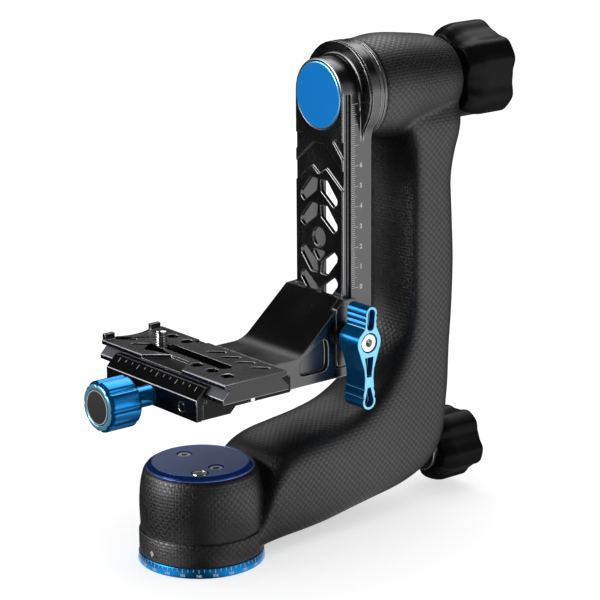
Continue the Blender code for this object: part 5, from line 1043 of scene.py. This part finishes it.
def finish_nodes():
    """Machined nodes get edges, the plate's slopes a blasted finish, other faces painted highlight, painted
    sheen and painted shade, and every node its slot's finish.
    """
    for node, (material, edge, width) in EDGED.items():
        machined(node, material, edge, width * MM)
    # Lever: the outer face takes the pale blue, partly its machined face and partly a painted highlight; the
    # pocket floors take painted shade
    lever = bpy.data.objects["bracket_lever_finish"]
    pocket_shade = add_look(lever, POCKET_SHADE_BLUE)
    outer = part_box("bracket_lever")[1].x - NEAR
    for face in lever.data.polygons:
        if face.normal.x > FACING:
            face.material_index = 1 if face.center.x > outer else pocket_shade
    plate = bpy.data.objects["lens_plate_finish"]
    blasted, top, pit_shade, end = (add_look(plate, look) for look in (BLASTED, PLATE_TOP_SHEEN, PIT_SHADE_BLACK, END_SHADE_BLACK))
    slope_rise, slope_lean = 0.3, 0.4
    # Plate: slopes blasted; top faces painted sheen; recess floors and the +X end painted shade
    for face in plate.data.polygons:
        if face.normal.z > slope_rise and abs(face.normal.y) > slope_lean:
            face.material_index = blasted
        elif face.normal.z > FACING:
            face.material_index = top if face.center.z > PLATE_TOP_HEIGHT - NEAR else pit_shade
        elif face.normal.x > FACING:
            face.material_index = end
    # Clamp parts: their +X ends take painted shade
    for node in ("clamp_base", "front_jaw"):
        half = bpy.data.objects[f"{node}_finish"]
        shaded_end = add_look(half, PIT_SHADE_BLACK)
        for face in half.data.polygons:
            if face.normal.x > FACING:
                face.material_index = shaded_end
    for node, obj in nodes.items():
        obj.data.materials.clear()
        obj.data.materials.append(SLOT_FINISH[slot_of[node]])


# Studio

# What gloss sees of the floor. Each ramp is start, end, level before, level after; lengths in metres
FLOOR_HALF = 7.0
FLOOR_GLOW = 0.52
RIGHTWARD = (0.63, 0.776)
CARD_RAMP = (0.0, 0.2, 0.02, 1.75)
CARD_CENTRE = (0.0, 0.08, 0.0)
CARD_HEADING = (0.9, -0.43, 0.0)
CARD_TURN = (-0.35, 0.4, 0.1, 1.0)
FOOT_RAMP = (0.05, 0.08, 1.1, 0.0)
FOOT_GAP = (0.004, 0.024, 0.0, 1.0)
FOOT_END = (0.030, 0.040, 1.0, 0.1)


def build_floor():
    """A pale floor; gloss sees a bright card to the right of the part, and two small ones by its foot."""
    mesh = bpy.data.meshes.new("studio_floor")
    corners = [(x * FLOOR_HALF, y * FLOOR_HALF, 0.0) for x, y in ((-1, -1), (1, -1), (1, 1), (-1, 1))]
    mesh.from_pydata(corners, [], [(0, 1, 2, 3)])
    floor = link(bpy.data.objects.new("studio_floor", mesh))
    pale, dim = (0.82, 0.82, 0.82), (0.02, 0.02, 0.02)
    material, graph, shader = new_material("pale_floor", pale, 0.9, specular=0.0)
    shader.inputs["Emission Color"].default_value = (1.0, 1.0, 1.0, 1.0)
    path = graph.add("ShaderNodeLightPath").outputs
    tone = graph.colour(path["Is Glossy Ray"], (*pale, 1.0), (*dim, 1.0))
    graph.feed(shader.inputs["Base Color"], tone)
    spot = graph.add("ShaderNodeNewGeometry").outputs["Position"]
    place = graph.add("ShaderNodeSeparateXYZ")
    graph.feed(place.inputs[0], spot)
    across = [graph.math("MULTIPLY", *pair) for pair in zip(place.outputs, RIGHTWARD)]
    right = graph.math("ADD", *across)
    toward = graph.vector("NORMALIZE", graph.vector("SUBTRACT", spot, CARD_CENTRE))
    turn = graph.vector("DOT_PRODUCT", toward, CARD_HEADING)
    card = graph.math("MULTIPLY", graph.ramp(right, *CARD_RAMP), graph.ramp(turn, *CARD_TURN))
    foot = graph.ramp(graph.vector("LENGTH", spot), *FOOT_RAMP)
    for ramp in (FOOT_GAP, FOOT_END):
        foot = graph.math("MULTIPLY", foot, graph.ramp(graph.math("ABSOLUTE", right), *ramp))
    mirrored = graph.math("MAXIMUM", path["Is Glossy Ray"], path["Is Transmission Ray"])
    seen = graph.math("MULTIPLY", path["Is Camera Ray"], FLOOR_GLOW)
    gloss = graph.math("MULTIPLY", mirrored, graph.math("MAXIMUM", card, foot))
    graph.feed(shader.inputs["Emission Strength"], graph.math("ADD", seen, gloss))
    mesh.materials.append(material)


# Panels that gloss sees: turn and rise in degrees, the cosines where each starts and is full, and its level
PANELS = (
    (28.0, -14.0, 0.88, 0.97, 1.7),
    (130.0, 57.0, 0.85, 0.96, 3.0),
    (-109.0, 18.0, 0.92, 0.985, 11.0),
    (-140.0, 17.0, 0.968, 0.99, 3.4),
)
DIM_LEVEL = 0.02
PLAIN_LEVEL = 0.7


def build_world():
    """White to the camera, dim to gloss but for the panels, and plain white light for the rest."""
    world = bpy.data.worlds.new("studio")
    bpy.context.scene.world = world
    world.use_nodes = True
    graph = Graph(world.node_tree)
    background = world.node_tree.nodes["Background"].inputs
    path = graph.add("ShaderNodeLightPath").outputs
    direction = graph.add("ShaderNodeTexCoord").outputs["Generated"]
    gloss = DIM_LEVEL
    for turn, rise, start, full, level in PANELS:
        turn, rise = math.radians(turn), math.radians(rise)
        heading = (math.cos(turn) * math.cos(rise), math.sin(turn) * math.cos(rise), math.sin(rise))
        toward = graph.vector("DOT_PRODUCT", direction, heading)
        gloss = graph.math("ADD", graph.ramp(toward, start, full, 0.0, level), gloss)
    mirrored = graph.math("MAXIMUM", path["Is Glossy Ray"], path["Is Transmission Ray"])
    seen = path["Is Camera Ray"]
    plain = graph.math("SUBTRACT", 1.0, graph.math("MAXIMUM", seen, mirrored))
    plain = graph.math("MULTIPLY", plain, PLAIN_LEVEL)
    level = graph.math("ADD", seen, graph.math("MULTIPLY", mirrored, gloss))
    graph.feed(background["Strength"], graph.math("ADD", level, plain))
    background["Color"].default_value = (1.0, 1.0, 1.0, 1.0)


def stand(obj, right, up, back, place):
    """Puts an object in its place, with its local X, Y and Z along the three directions."""
    axes = np.eye(4)
    axes[:3, :] = np.stack([right, up, back, place], 1)
    obj.matrix_world = Matrix(axes.tolist())


# Softboxes: place, size and power
SOFTBOXES = {
    "right_softbox": ((1.1, 0.75, 0.45), (0.9, 0.8), 1.3),
    "left_softbox": ((-0.5, -1.0, 0.8), (0.3, 0.6), 0.25),
    "top_softbox": ((-0.5, 0.5, 1.0), (0.6, 0.4), 0.5),
}
LIT_POINT = (0.0, 0.05, 0.12)


def build_softbox(name, place, size, power):
    light = bpy.data.lights.new(name, "AREA")
    light.shape = "RECTANGLE"
    light.size, light.size_y = size
    light.energy = power
    back = np.subtract(place, LIT_POINT)
    back = back / np.linalg.norm(back)
    right = np.cross((0.0, 0.0, 1.0), back)
    right = right / np.linalg.norm(right)
    stand(link(bpy.data.objects.new(name, light)), right, np.cross(back, right), back, place)


def build_camera():
    turn, rise = CAMERA_TURN, CAMERA_RISE
    back = np.array([math.sin(turn) * math.cos(rise), -math.cos(turn) * math.cos(rise), math.sin(rise)])
    level = np.array([math.cos(turn), math.sin(turn), 0.0])
    lifted = np.cross(back, level)
    right = math.cos(CAMERA_ROLL) * level + math.sin(CAMERA_ROLL) * lifted
    up = -math.sin(CAMERA_ROLL) * level + math.cos(CAMERA_ROLL) * lifted
    place = back * CAMERA_DISTANCE + right * CAMERA_RIGHT + up * CAMERA_UP
    data = bpy.data.cameras.new("studio_camera")
    data.lens = CAMERA_LENS
    data.sensor_width = SENSOR
    camera = link(bpy.data.objects.new("studio_camera", data))
    stand(camera, right, up, back, place)
    bpy.context.scene.camera = camera


build_camera()
finish_nodes()
build_arm()
build_cap()
build_sockets()
build_base()
build_index()
build_level()
build_knobs()
build_clamp_knob()
build_ruler()
build_jaw_marks()
build_camera_screw()
build_floor()
build_world()
for name, setting in SOFTBOXES.items():
    build_softbox(name, *setting)
bpy.context.scene.view_settings.view_transform = "Standard"
